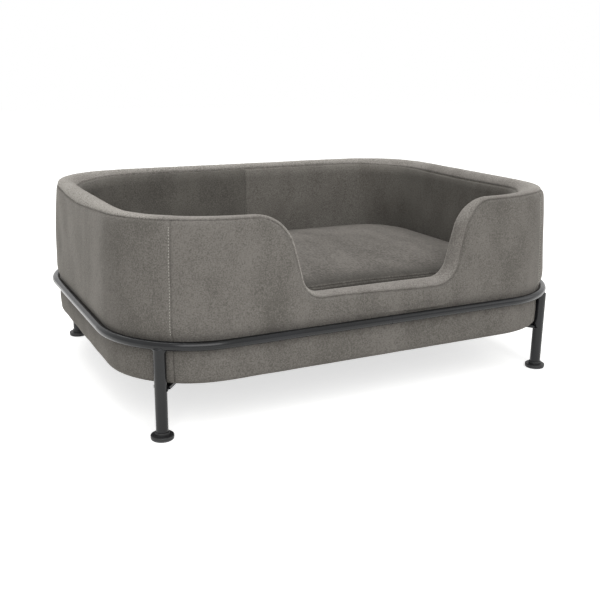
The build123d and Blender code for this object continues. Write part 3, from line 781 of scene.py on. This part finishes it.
def rimBand():
    part = stations
    middle, across, out = stationFrame(part)
    u, v = rimSection(part, 8)
    # finer rows next to both seams
    length = np.vstack([0 * u[:1], np.cumsum(np.hypot(np.diff(u, axis=0), np.diff(v, axis=0)), axis=0)])
    near = depthRows[:9]
    sectionU, sectionV, spots = [], [], []
    for k in range(u.shape[1]):
        reach = length[-1, k]
        between = np.linspace(near[-1], reach - near[-1], 11)[1:-1]
        spot = np.concatenate([near, between, (reach - near)[::-1]])
        spots.append(spot)
        sectionU.append(np.interp(spot, length[:, k], u[:, k]))
        sectionV.append(np.interp(spot, length[:, k], v[:, k]))
    sectionU, sectionV, spots = np.array(sectionU).T, np.array(sectionV).T, np.array(spots).T
    du, dv = np.gradient(sectionU, axis=0), np.gradient(sectionV, axis=0)
    size = np.hypot(du, dv)
    run = part["run"][None, :]
    distance = np.minimum(spots, spots[-1:] - spots)
    outerHalf = np.where(spots < spots[-1:] / 2, sideSeam["shallow"], 0)
    shallow = 1 - outerHalf * alongSide(part["t"])[None, :]
    lift = -shallow * (seamDip(distance) + puckers(distance, run + spots * 0.3, 31) * 1.6)
    lift = lift + rimFold["fill"] * np.sin(math.pi * spots / spots[-1:])
    lift = lift + 0.5 * hollows(run + 0 * spots, spots, 33)
    inCorner = bell(np.abs(part["t"]) - backCorner, rimFold["spread"])[None, :]
    for back, seed in rimFold["creases"]:
        crease = spots[-1:] - back - rimFold["wander"] * waves(run, 0.05, seed, 3)
        lift = lift - rimFold["depth"] * bell(spots - crease, rimFold["width"]) * inCorner
    joint = np.abs(folded(part["t"] - rimFold["joint"]))[None, :]
    lift = lift - rimFold["jointShare"] * seamDip(joint)
    sectionU, sectionV = sectionU - dv / size * lift, sectionV + du / size * lift
    points = middle[None] + across[None] * sectionU[..., None] + out[None] * sectionV[..., None]
    # painted highlight over the crest, from the outer seam on along the sides, and painted shade in the
    # groove at the outer seam
    onTop = np.clip((part["z"] - tub["rim"] + 0.03) / 0.02, 0, 1)
    aside = np.clip((np.abs(part["t"]) - seamT) / 0.04, 0, 1)
    crest = rimPaintedLight["crest"] + (rimPaintedLight["crestAside"] - rimPaintedLight["crest"]) * aside
    bend = onTop * (rimPaintedLight["crestLight"] + rimPaintedLight["lighterAside"] * aside)
    bend = bend * bell(spots - crest, rimPaintedLight["crestWidth"] + rimPaintedLight["widerAside"] * aside)
    groove = rimPaintedLight["groove"] - rimPaintedLight["narrowerAside"] * aside
    bend = bend - rimPaintedLight["grooveShade"] * bell(spots, groove)
    # round the entry, painted highlight beside the seam on the left, and towards the inside elsewhere
    steep = (1 - onTop) * np.clip(1.4 * part["nx"], 0, 1)
    bend = bend + rimPaintedLight["entryLight"] * steep * bell(spots - rimPaintedLight["byEntry"], rimPaintedLight["entryWidth"])
    inside = bell(spots[-1:] - spots - rimPaintedLight["byInside"], rimPaintedLight["insideWidth"])
    bend = bend + rimPaintedLight["insideLight"] * (1 - onTop - steep) * inside
    # a little painted highlight in the back corners as well
    piece = clothGrid("rim_band", points, bend + rimPaintedLight["inCorner"] * inCorner)
    closeCloth(piece)
    finishCloth(piece, upwards)
    dress(piece, rimVelvet, "tub_and_frame", "velvet", "rim_cover", "rim_foam")


# Cloth inside the wall: from the rim's inner seam over the roll and down behind the cushion
def innerPanel(name, part, seams, seed, material, replaced):
    middle, across, out = stationFrame(part)
    half = tub["wall"] / 2
    crest = outerSeam["crest"] - half
    start = np.radians(seamAngle(part["t"]))[None, :]
    quarters = np.linspace(0.25, 1, 4)[:, None]
    near = depthRows[:9, None]
    arcRows = np.concatenate([near + 0 * start, near[-1] + (innerRound * start - near[-1]) * quarters])
    angles = start - arcRows / innerRound
    inner = half + swellInwards(part["t"])[None, :]
    below = np.array([0.003, 0.007, 0.012])[:, None]
    rowU = np.vstack([crest + (inner - crest) * np.cos(angles), inner + 0 * below])
    rowV = np.vstack([innerRound * (np.sin(angles) - 1), -innerRound - below + 0 * start])
    distances = np.vstack([arcRows, arcRows[-1:] + below])
    run = part["run"]
    dip = seamDip(distances) + puckers(distances, run[None, :], seed)
    facing = np.vstack([np.clip(angles, 0, 9), 0 * start + 0 * below])
    u = rowU - np.cos(facing) * dip
    v = rowV - np.sin(facing) * dip
    top = middle[None] + across[None] * u[..., None] + out[None] * v[..., None]
    lastV = rowV[-1]
    startT, startZ = part["t"] + part["nx"] * lastV, part["z"] + part["nz"] * lastV
    share = np.linspace(0, 1, 36)[1:, None]
    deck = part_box("deck_cover")[1].z - 0.001
    allT = startT + (part["low"] - startT) * share
    allZ = startZ + (deck - startZ) * share
    height = (allZ - deck) / (tub["rim"] - deck)
    belly = innerWall["belly"] * np.sin(np.clip(height / innerWall["bellyTop"], 0, 1) * math.pi)
    side = besideSeams(allT, seams)
    eased = np.clip(share * 4, 0, 1)
    quiet = eased * (1 - np.exp(-side / softness["quiet"]))
    swell = swellInwards(allT) * smoothShare(np.clip((height - 0.15) / 0.65, 0, 1))
    dipShare, puckerShare = uprightSeams["inner"]
    inset = tub["wall"] + swell + belly * eased - dipShare * seamDip(side)
    inset = inset - puckerShare * puckers(side, allZ, seed + 3)
    inset = inset + hollows(allT, allZ, seed + 4) * quiet
    x, y = planPoint(allT, inset)
    lower = np.stack([x, y, allZ], axis=-1)
    dip = dipShare * seamDip(besideSeams(part["t"], seams))[None, :, None]
    top = top - across[None] * dip * np.clip(distances / 0.004, 0, 1)[..., None]
    points = np.vstack([top, lower])
    # on the right panel, painted shade along the side wall, fading out round the back corner to a faint
    # painted highlight along the back
    column = np.clip((part["t"] - innerWall["shadeFrom"]) / innerWall["shadeRun"], 0, 1)
    lean = innerWall["shadeBack"] * column - innerWall["shadeSide"] if part["t"][-1] > 0 else 0 * column
    piece = clothGrid(name, points, lean[None, :] + np.zeros(points.shape[:2]))
    finishCloth(piece, towardsCentre)
    dress(piece, material, "tub_and_frame", "velvet", *replaced)


def makeTubCloth():
    t = stations["t"]
    inFront = np.abs(t) <= seamT
    frontPart = pick(inFront)
    right, left = t > seamT, t < -seamT
    # a place is counted on past the middle of the back
    turn = {"t": perimeter, "low": perimeter, "run": 2 * stations["run"][-1]}
    backPart = {
        key: np.concatenate([value[right], value[left][1:] + turn.get(key, 0)])
        for key, value in stations.items()
    }
    for name, part, seed, replaced in (
        ("outer_front", frontPart, 11, ("outer_front_panel",)),
        ("outer_back", backPart, 13, ("outer_back_panel", "outer_foam")),
    ):
        # the edge columns lie on the seams
        for key in ("t", "low"):
            part[key] = part[key].copy()
        part["t"][0] = part["low"][0] = -seamT if name == "outer_front" else seamT
        part["t"][-1] = part["low"][-1] = seamT if name == "outer_front" else perimeter - seamT
        piece = outerPanel(name, part, (-seamT, seamT), seed)
        finishCloth(piece, fromCentre)
        dress(piece, outerVelvet, "tub_and_frame", "velvet", *replaced)
        print("sewed", name)
    middle = int(np.argmin(np.abs(t)))
    shift = innerSeamShift
    leftPart = {
        key: np.concatenate([value[-1 - shift:-1] - turn.get(key, 0), value[:middle + 1]])
        for key, value in stations.items()
    }
    seams = (0, stations["t"][-1 - shift])
    innerPanel("inner_left", leftPart, seams, 21, sideVelvet, ("inner_left_panel", "inner_foam"))
    innerPanel("inner_right", pick(slice(middle, -shift)), seams, 24, innerVelvet, ("inner_right_panel",))
    rimBand()
    print("sewed the rim and the inside")


makeTubCloth()

# Cushion

cushionLow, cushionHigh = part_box("cushion_border")
zipLow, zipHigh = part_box("zip_tape")
cushion = {
    "halfLength": cushionHigh.x,
    "halfDepth": cushionHigh.y,
    "cornerRadius": 0.086,
    "seamInset": 0.011,
    "lowSeam": cushionLow.z,
    "highSeam": cushionHigh.z,
    "bottom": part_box("cushion_bottom_panel")[0].z,
    "crest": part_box("cushion_top_panel")[1].z,
    "voxel": 0.006,
    "pressure": 3.5,
    "frames": 20,
    "cap": 0.014,
    "crown": 0.030,         # the crown builds up over about this distance from the seam
    "crownShare": 0.86,     # how much of the rise it has there, the rest comes towards the middle
    "edgeShade": 0.78,        # how dark the painted shade is where the cover rolls over the edge, and on the border
    "frontLift": 0.0045,    # the entry's wall pushes the front seam up a little
    "liftDepth": 0.05,
    "liftWidth": 0.16,
    "keepsCut": 0.006,      # the cloth keeps its cut line this near a seam
    "keepsFall": 0.004,     # and the bottom its fall
    "eases": 0.03,          # past these it eases into the stuffed form over this run
    "cornerColumns": 44,
    "longColumns": 130,
    "shortColumns": 72,
    "zipHalfLength": zipHigh.x,
    "zipHalfWidth": (zipHigh.z - zipLow.z) / 2,
}
seamX = cushion["halfLength"] - cushion["seamInset"]
seamY = cushion["halfDepth"] - cushion["seamInset"]
seamCorner = cushion["cornerRadius"] - 0.4 * cushion["seamInset"]
seamHeight = cushion["highSeam"] - cushion["lowSeam"]


# A rounded outline, its columns shared out by side and corner so that smaller outlines line up
def roundedOutline(halfX, halfY, radius):
    points = []
    corners = ((1, -1, -90), (1, 1, 0), (-1, 1, 90), (-1, -1, 180))
    runs = (cushion["shortColumns"], cushion["longColumns"], cushion["shortColumns"], cushion["longColumns"])
    for index, (sideX, sideY, start) in enumerate(corners):
        centreX, centreY = sideX * (halfX - radius), sideY * (halfY - radius)
        for a in np.radians(np.linspace(start, start + 90, cushion["cornerColumns"], endpoint=False)):
            points.append((centreX + radius * math.cos(a), centreY + radius * math.sin(a)))
        nextX, nextY, _ = corners[(index + 1) % 4]
        end = math.radians(start + 90)
        turnX, turnY = radius * math.cos(end), radius * math.sin(end)
        ax, ay = centreX + turnX, centreY + turnY
        bx, by = nextX * (halfX - radius) + turnX, nextY * (halfY - radius) + turnY
        for share in np.linspace(0, 1, runs[index], endpoint=False):
            points.append((ax + (bx - ax) * share, ay + (by - ay) * share))
    points.append(points[0])
    return np.array(points)


# Rings of an outline, each drawn in by an inset, at a height
def outlineRings(halfX, halfY, radius, insets, heights):
    rows = []
    for inset, height in zip(insets, heights):
        plan = roundedOutline(halfX - inset, halfY - inset, radius * (1 - inset / halfY) + 1e-5)
        rows.append(np.column_stack([plan, np.full(len(plan), height)]))
    return np.array(rows)


# The top's rise over its seam at a distance from it
def crownRise(distance):
    rise = (cushion["crest"] - cushion["highSeam"]) * (1 - np.exp(-distance / cushion["crown"]))
    return rise * (cushion["crownShare"] + (1 - cushion["crownShare"]) * distance / seamY)


# The entry's wall lifts the seam along the front's middle
def liftFront(piece):
    points = readPoints(piece)
    height = np.clip((points[:, 2] - cushion["lowSeam"]) / seamHeight, 0, 1)
    share = height * np.exp(-np.maximum(0, points[:, 1] + seamY) / cushion["liftDepth"])
    points[:, 2] += cushion["frontLift"] * share * bell(points[:, 0], cushion["liftWidth"])
    writePoints(piece, points)


# What the cloth solver holds: near a seam, and on the face that the cushion rests on
held = {"corner": 0.075, "edge": 0.068, "seam": 0.0035, "rest": 0.002, "face": 0.040}


# The stuffed form: a foam block in its cover, blown up by the cloth solver with its seams held
def cushionForm():
    selectOnly()
    bpy.ops.mesh.primitive_plane_add(size=2, location=(0, 0, 0))
    form = bpy.context.object
    form.name = "cushion_form"
    bpy.ops.object.mode_set(mode="EDIT")
    bpy.ops.mesh.select_all(action="SELECT")
    bpy.ops.transform.resize(value=(seamX, seamY, 1))
    bpy.ops.transform.translate(value=(0, 0, cushion["lowSeam"]))
    bpy.ops.mesh.bevel(offset=seamCorner, segments=14, affect="VERTICES")
    bpy.ops.mesh.select_all(action="SELECT")
    bpy.ops.mesh.extrude_region_move(TRANSFORM_OT_translate={"value": (0, 0, seamHeight)})
    steps = (0, 0.006, 0.014, 0.024, 0.038, 0.056, 0.080, 0.110)
    for near, far in zip(steps, steps[1:]):
        bpy.ops.mesh.inset(thickness=far - near, depth=0)
        bpy.ops.transform.translate(value=(0, 0, crownRise(far) - crownRise(near)))
    bpy.ops.mesh.select_all(action="SELECT")
    bpy.ops.mesh.normals_make_consistent(inside=False)
    bpy.ops.object.mode_set(mode="OBJECT")
    applyModifier(form, "REMESH", mode="VOXEL", voxel_size=cushion["voxel"])
    rest = readPoints(form)
    # the two seam lines and the resting face are held
    outX = np.abs(rest[:, 0]) - (seamX - held["corner"])
    outY = np.abs(rest[:, 1]) - (seamY - held["corner"])
    inCorner = np.hypot(np.clip(outX, 0, 1), np.clip(outY, 0, 1))
    radial = np.where((outX > 0) & (outY > 0), inCorner, np.maximum(outX, outY))
    offSeam = np.minimum(np.abs(rest[:, 2] - cushion["lowSeam"]), np.abs(rest[:, 2] - cushion["highSeam"]))
    nearSeam = (radial > held["edge"]) & (offSeam < held["seam"])
    resting = (rest[:, 2] < cushion["lowSeam"] + held["rest"]) & (radial < held["face"])
    group = form.vertex_groups.new(name="held")
    group.add([int(i) for i in np.nonzero(nearSeam | resting)[0]], 1.0, "REPLACE")
    bpy.context.view_layer.objects.active = form
    modifier = form.modifiers.new("cloth", "CLOTH")
    settings = modifier.settings
    settings.use_pressure = True
    settings.uniform_pressure_force = cushion["pressure"]
    settings.effector_weights.gravity = 0
    settings.quality = 5
    settings.mass = 0.35
    settings.tension_stiffness = settings.compression_stiffness = 12
    settings.bending_stiffness = 0.6
    settings.vertex_group_mass = "held"
    modifier.point_cache.frame_start, modifier.point_cache.frame_end = 1, cushion["frames"]
    for step in range(1, cushion["frames"] + 1):
        bpy.context.scene.frame_set(step)
    bpy.ops.object.modifier_apply(modifier="cloth")
    bpy.context.scene.frame_set(1)
    move = readPoints(form) - rest
    size = np.linalg.norm(move, axis=1, keepdims=True)
    print("cushion swelled by up to %.1f mm" % (1000 * size.max()))
    move *= np.minimum(1, cushion["cap"] / np.maximum(size, 1e-9))
    writePoints(form, rest + move)
    return form


# Sewn edge: the cloth turns in at a seam, with small puckers beside it
def sewEdges(piece, distance, run, seed):
    normals = np.zeros(len(piece.data.vertices) * 3)
    piece.data.vertex_normals.foreach_get("vector", normals)
    lift = -seamDip(distance) - puckers(distance, run, seed)
    writePoints(piece, readPoints(piece) + normals.reshape(-1, 3) * lift[:, None])


# Wraps a cut panel on the stuffed form away from its seams, where it keeps its cut line
def wrapOn(piece, form, outward, distance):
    faceCloth(piece, outward)
    cut = readPoints(piece)
    applyModifier(piece, "SHRINKWRAP", target=form, wrap_method="NEAREST_SURFACEPOINT")
    share = smoothShare(np.clip((distance - cushion["keepsCut"]) / cushion["eases"], 0, 1))[:, None]
    points = cut * (1 - share) + readPoints(piece) * share
    points[:, 2] = np.maximum(points[:, 2], cushion["bottom"])
    writePoints(piece, points)


# Painted light on the cushion's pile: a painted highlight on a ridge beside the top seam, painted shade in
# the groove where it turns in at the seam, and painted shade over the edge, where the cover rolls towards
# the eye
cushionPaintedLight = {
    "ridge": 0.0024,
    "ridgeWidth": 0.0014,
    "ridgeLight": 0.6,
    "borderLight": 0.4,
    "groove": 0.0011,
    "grooveShade": 0.6,
    "laid": 0.034,
}


def makeCushion():
    form = cushionForm()
    lastRow = depthRows[10]
    insets = np.unique(np.concatenate([depthRows[:11], np.linspace(lastRow, seamY, 40)]))
    loop = np.linspace(0, 1, len(roundedOutline(1, 1, 0.1)))
    oneTurn = loop * 2 * (2 * seamX + 2 * seamY)
    allRound = np.ones((1, len(loop)))
    distance = np.repeat(insets, len(loop))
    run = np.tile(oneTurn, len(insets))

    # painted highlight on the ridge, painted shade over the rolled edge and in the seam's groove
    bend = cushionPaintedLight["ridgeLight"] * bell(insets - cushionPaintedLight["ridge"], cushionPaintedLight["ridgeWidth"])
    bend = bend - cushion["edgeShade"] * bell(insets, cushionPaintedLight["laid"])
    bend = bend - cushionPaintedLight["grooveShade"] * bell(insets, cushionPaintedLight["groove"])
    rows = outlineRings(seamX, seamY, seamCorner, insets, cushion["highSeam"] + crownRise(insets))
    top = clothGrid("cushion_top", rows, bend[:, None] * allRound)
    wrapOn(top, form, upwards, distance)
    liftFront(top)
    sewEdges(top, distance, run, 41)
    closeCloth(top)
    finishCloth(top, upwards)
    dress(top, cushionVelvet, "cushion", "velvet", "cushion_top_panel", "cushion_core")

    fall = (cushion["lowSeam"] - cushion["bottom"]) * np.clip(insets / (0.1 * seamY), 0, 1)
    rows = outlineRings(seamX, seamY, seamCorner, insets, cushion["lowSeam"] - fall)
    bottom = clothGrid("cushion_bottom", rows)
    wrapOn(bottom, form, downwards, distance)
    points = readPoints(bottom)
    flat = np.clip((distance - cushion["keepsFall"]) / cushion["eases"], 0, 1)
    points[:, 2] = points[:, 2] * (1 - flat) + cushion["bottom"] * flat
    writePoints(bottom, points)
    sewEdges(bottom, distance, run, 43)
    points = readPoints(bottom)
    points[:, 2] = np.maximum(points[:, 2], cushion["bottom"])
    writePoints(bottom, points)
    closeCloth(bottom)
    finishCloth(bottom, downwards)
    dress(bottom, cushionVelvet, "cushion", "velvet", "cushion_bottom_panel")

    between = np.linspace(lastRow, seamHeight - lastRow, 14)
    levels = np.unique(np.concatenate([depthRows[:11], between, seamHeight - depthRows[:11]]))
    bulge = cushion["seamInset"] * (1 - (1 - 2 * levels / seamHeight) ** 2)
    # the border has painted shade all over, and a painted highlight on its ridge under the top seam
    ridge = bell(seamHeight - levels - cushionPaintedLight["ridge"], cushionPaintedLight["ridgeWidth"])
    bend = cushionPaintedLight["borderLight"] * ridge - cushion["edgeShade"]
    rows = outlineRings(seamX, seamY, seamCorner, -bulge, cushion["lowSeam"] + levels)
    border = clothGrid("cushion_border_cloth", rows, bend[:, None] * allRound)
    distance = np.repeat(np.minimum(levels, seamHeight - levels), len(loop))
    run = np.tile(oneTurn, len(levels))
    target = readPoints(border)
    wrapOn(border, form, fromCentre, distance)
    points = readPoints(border)
    # the back of the border is kept true round the zip
    behind = np.clip((points[:, 1] - 0.15) / 0.03, 0, 1)
    atZip = (behind * np.clip((0.24 - np.abs(points[:, 0])) / 0.03, 0, 1))[:, None]
    writePoints(border, points * (1 - atZip) + target * atZip)
    liftFront(border)
    sewEdges(border, distance, run, 47)
    closeCloth(border)

    # the zip's tape fills a window in the back of the border
    zipHeight = (cushion["lowSeam"] + cushion["highSeam"]) / 2
    selectOnly(border)
    bpy.ops.object.mode_set(mode="EDIT")
    bpy.ops.mesh.select_all(action="DESELECT")
    bpy.ops.object.mode_set(mode="OBJECT")
    for face in border.data.polygons:
        c = face.center
        inLength = c.y > 0.15 and abs(c.x) < cushion["zipHalfLength"]
        face.select = inLength and abs(c.z - zipHeight) < cushion["zipHalfWidth"]
    bpy.ops.object.mode_set(mode="EDIT")
    bpy.ops.mesh.separate(type="SELECTED")
    bpy.ops.object.mode_set(mode="OBJECT")
    tape = [o for o in bpy.context.selected_objects if o != border][0]
    tape.name = tape.data.name = "zip_tape_cloth"
    for piece, material, slotName, node in (
        (border, cushionVelvet, "velvet", "cushion_border"),
        (tape, plain["zip_tape_woven"], "zip_cloth", "zip_tape"),
    ):
        finishCloth(piece, fromCentre)
        dress(piece, material, "cushion", slotName, node)
    bpy.data.objects.remove(form)
    print("stuffed and sewed the cushion")


makeCushion()

# Flat cloths, stitches and welds

flatCloth = {
    "deckWave": 0.0003,
    "dustSag": 0.0010,
    "dustThickness": 0.0006,
    "waveSize": (0.11, 0.09),
    "edgeHeld": 0.02,       # the waves fade out this near the edge
}


def flatDisc(name, halfX, halfY, radius, height, wave, seed):
    insets = np.concatenate([[0, 0.001, 0.003, 0.006, 0.011], np.linspace(0.018, halfY, 30)])
    rings = outlineRings(halfX, halfY, radius, insets, np.full(len(insets), height))
    alongX, alongY = flatCloth["waveSize"]
    rise = waves(rings[:, :, 0], alongX, seed) + waves(rings[:, :, 1], alongY, seed + 1)
    rings[:, :, 2] += wave * rise * np.clip(insets / flatCloth["edgeHeld"], 0, 1)[:, None]
    piece = clothGrid(name, rings)
    closeCloth(piece)
    return piece


def makeFlatCloths():
    low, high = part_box("deck_cover")
    radius = tub["cornerRadius"] - tub["wall"]
    wave = flatCloth["deckWave"]
    deck = flatDisc("deck_cloth", high.x, high.y, radius, high.z - wave, wave / 2, 51)
    finishCloth(deck, upwards)
    dress(deck, cushionVelvet, "tub_and_frame", "velvet", "deck_cover")
    low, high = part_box("dust_cover")
    radius = tub["cornerRadius"] - (tub["halfLength"] - high.x)
    dust = flatDisc("dust_cloth", high.x, high.y, radius, high.z - 0.0001, flatCloth["dustSag"] / 4, 53)
    finishCloth(dust, downwards, flatCloth["dustThickness"])
    dress(dust, plain["lining_spunbond"], "tub_and_frame", "dust_cloth", "dust_cover")


makeFlatCloths()

stitch = {
    "length": 0.0024,
    "pitch": 0.0038,
    "radius": 0.00045,
    "beside": 0.0013,       # how far the row lies from its seam
    "outside": 0.008,       # where the search for the cloth starts, outside the wall
    "low": 0.137,
    "high": 0.274,
}


# Topstitching down both front corner seams, each stitch a short round bar half sunk in the cloth
def makeStitches():
    heights = np.arange(stitch["low"], stitch["high"], stitch["pitch"])
    panel = bpy.data.objects["outer_back"]
    selectOnly()
    bpy.ops.mesh.primitive_uv_sphere_add(segments=8, ring_count=6, radius=1)
    model = bpy.context.object
    size = (stitch["radius"], stitch["radius"], stitch["length"] / 2)
    editWhole(model, bpy.ops.transform.resize, value=size)
    bpy.ops.object.shade_smooth()
    for side, name in ((-1, "topstitch_left"), (1, "topstitch_right")):
        copies = []
        for z in heights:
            x, y = planPoint(side * (seamT + stitch["beside"]), -stitch["outside"])
            place = panel.closest_point_on_mesh(Vector((float(x), float(y), z)))[1]
            copy = model.copy()
            copy.data = model.data.copy()
            copy.data.transform(Matrix.Translation(place))
            bpy.context.scene.collection.objects.link(copy)
            copies.append(copy)
        selectOnly(*copies)
        bpy.ops.object.join()
        row = bpy.context.object
        row.name = row.data.name = name
        row.data.materials.clear()
        row.data.materials.append(plain["thread_polyester"])
        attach(row, "tub_and_frame")
    bpy.data.objects.remove(model)


makeStitches()

weldMark = {"x": 0.012, "proud": 0.0002, "width": 0.0005}
legWeld = {
    "flare": 0.0034,
    "height": 0.0038,
    "sunk": 0.0003,
    "bead": 0.0018,
    "proud": 0.00003,       # the fillet's start lies this far out from the leg
    "ringShare": 0.97,      # it ends a little inside the ring's widest line
}


# Where the ring's ends meet at the front, ground back to a low line
def makeRingJoint():
    selectOnly()
    bpy.ops.mesh.primitive_torus_add(
        major_segments=48,
        minor_segments=8,
        major_radius=ring["radius"] + weldMark["proud"] - weldMark["width"] / 2,
        minor_radius=weldMark["width"],
    )
    mark = bpy.context.object
    mark.name = mark.data.name = "ring_butt_weld"
    place = Matrix.Translation((weldMark["x"], ringLow.y + ring["radius"], ring["height"]))
    mark.data.transform(place @ Matrix.Rotation(math.pi / 2, 4, "Y"))
    bpy.ops.object.shade_smooth()
    mark.data.materials.append(blackCoat)
    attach(mark, "tub_and_frame")


makeRingJoint()


# A leg's top runs smoothly up into the ring and out along it
def legTop(corner):
    low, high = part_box("leg_" + corner)
    x, y, radius = (low.x + high.x) / 2, (low.y + high.y) / 2, (high.x - low.x) / 2
    centre = np.array([math.copysign(cornerX, x), math.copysign(cornerY, y)])
    outward = np.array([x, y]) - centre
    bend = np.linalg.norm(outward)
    outward /= bend
    along = np.array([-outward[1], outward[0]])
    turn = np.linspace(0, 2 * math.pi, 65)[None, :]
    share = np.linspace(0, 1, 11)[:, None]
    facing = np.cos(turn) ** 2
    spread = facing * smoothShare(share) + (1 - facing) * (1 - np.cos(share * math.pi / 2))
    climb = facing * share + (1 - facing) * np.sin(share * math.pi / 2)
    ringReach = legWeld["ringShare"] * ring["radius"]
    start = radius + legWeld["proud"]
    across = np.cos(turn) * (start + (ringReach - radius) * spread)
    beside = np.sin(turn) * (start + legWeld["flare"] * spread)
    topAcross = ringReach * np.cos(turn)
    topZ = ring["height"] - np.sqrt(ring["radius"] ** 2 - topAcross ** 2)
    # outside the ring it starts from the leg's flat end, so that the end's edge never shows through
    hold = smoothShare(np.clip(facing / 0.67, 0, 1))
    startZ = high.z * hold + (ring["height"] - ring["radius"] - legWeld["height"]) * (1 - hold)
    z = startZ + (topZ - startZ) * climb
    # the last row goes into the ring
    across = np.vstack([across, across[-1:] * 0.95])
    beside = np.vstack([beside, beside[-1:]])
    z = np.vstack([z, z[-1:] + legWeld["sunk"]])
    reach = bend + across - beside ** 2 / (2 * bend)
    plan = centre + reach[..., None] * outward + beside[..., None] * along
    piece = clothGrid("leg_top_" + corner, np.dstack([plan, z]))
    closeCloth(piece)
    return piece


# A bead under a bracket, round the inner half of its leg
def bracketBead(corner):
    low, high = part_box("leg_" + corner)
    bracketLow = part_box("bracket_" + corner)[0].z
    selectOnly()
    bpy.ops.mesh.primitive_torus_add(
        major_segments=48,
        minor_segments=10,
        major_radius=(high.x - low.x) / 2,
        minor_radius=legWeld["bead"],
    )
    bead = bpy.context.object
    inward = Vector((-low.x - high.x, -low.y - high.y, 0)).normalized()
    cut = {"plane_co": inward * legWeld["bead"], "plane_no": inward, "clear_inner": True, "use_fill": True}
    editWhole(bead, bpy.ops.mesh.bisect, **cut)
    bead.data.transform(Matrix.Translation(((low.x + high.x) / 2, (low.y + high.y) / 2, bracketLow)))
    return bead


def makeWelds():
    pieces = []
    for corner in ("front_left", "front_right", "back_left", "back_right"):
        pieces += [legTop(corner), bracketBead(corner)]
    selectOnly(*pieces)
    bpy.ops.object.join()
    welds = bpy.context.object
    welds.name = welds.data.name = "welds"
    editWhole(welds, bpy.ops.mesh.normals_make_consistent, inside=False)
    bpy.ops.object.shade_smooth()
    dress(welds, blackCoat, "tub_and_frame", "frame_paint", "frame_welds")


makeWelds()
print("stitched, lined and welded")

# Studio

studio = {
    "floorSize": 14.0,
    "floorColour": "#e9e9e7",
    "paperGlow": 0.66,      # lifts the paper to white for the camera
    "worldStrength": 0.42,
    "lamps": (              # name, place, watts, size of the square
        ("key", (-0.70, -2.3, 2.0), 44.5, 2.2),
        ("fill", (2.6, -1.4, 1.6), 12, 2.0),
        ("top", (0.0, 1.0, 2.6), 51, 2.4),
    ),
    "aim": (0, 0, 0.15),
}


def areaLight(name, place, power, size):
    bpy.ops.object.light_add(type="AREA", location=place)
    light = bpy.context.object
    light.name = name
    light.data.energy = power
    light.data.size = size
    light.rotation_mode = "QUATERNION"
    light.rotation_quaternion = (Vector(studio["aim"]) - Vector(place)).to_track_quat("-Z", "Y")


# Rays that the camera sends out, on their own, off a gloss or through glass
def seenRays(owner):
    rays = addNode(owner, "ShaderNodeLightPath").outputs
    links = {0: rays["Is Camera Ray"], 1: rays["Is Glossy Ray"]}
    direct = addNode(owner, "ShaderNodeMath", None, links, operation="MAXIMUM").outputs[0]
    links = {0: direct, 1: rays["Is Transmission Ray"]}
    return addNode(owner, "ShaderNodeMath", None, links, operation="MAXIMUM").outputs[0]


def buildStudio():
    scene = bpy.context.scene
    scene.view_settings.view_transform = "Standard"
    selectOnly()
    bpy.ops.mesh.primitive_plane_add(size=studio["floorSize"])
    floor = bpy.context.object
    floor.name = "studio_floor"
    material, shader, _ = newMaterial("studio_paper")
    shader.inputs["Base Color"].default_value = linear(studio["floorColour"])
    shader.inputs["Roughness"].default_value = 0.9
    shader.inputs["Specular IOR Level"].default_value = 0
    # the camera sees the paper lifted to white, with the object's shadow kept
    links = {0: seenRays(material)}
    glow = addNode(material, "ShaderNodeMath", {1: studio["paperGlow"]}, links, operation="MULTIPLY")
    shader.inputs["Emission Color"].default_value = (1, 1, 1, 1)
    join(material, glow.outputs[0], shader, "Emission Strength")
    floor.data.materials.append(material)
    world = bpy.data.worlds.new("studio_air")
    scene.world = world
    world.use_nodes = True
    background = world.node_tree.nodes["Background"]
    background.inputs["Color"].default_value = (1, 1, 1, 1)
    span = {"To Min": studio["worldStrength"], "To Max": 1}
    strength = addNode(world, "ShaderNodeMapRange", span, {"Value": seenRays(world)})
    join(world, strength.outputs["Result"], background, "Strength")
    for name, place, power, size in studio["lamps"]:
        areaLight(name, place, power, size)


buildStudio()
print("studio lit")
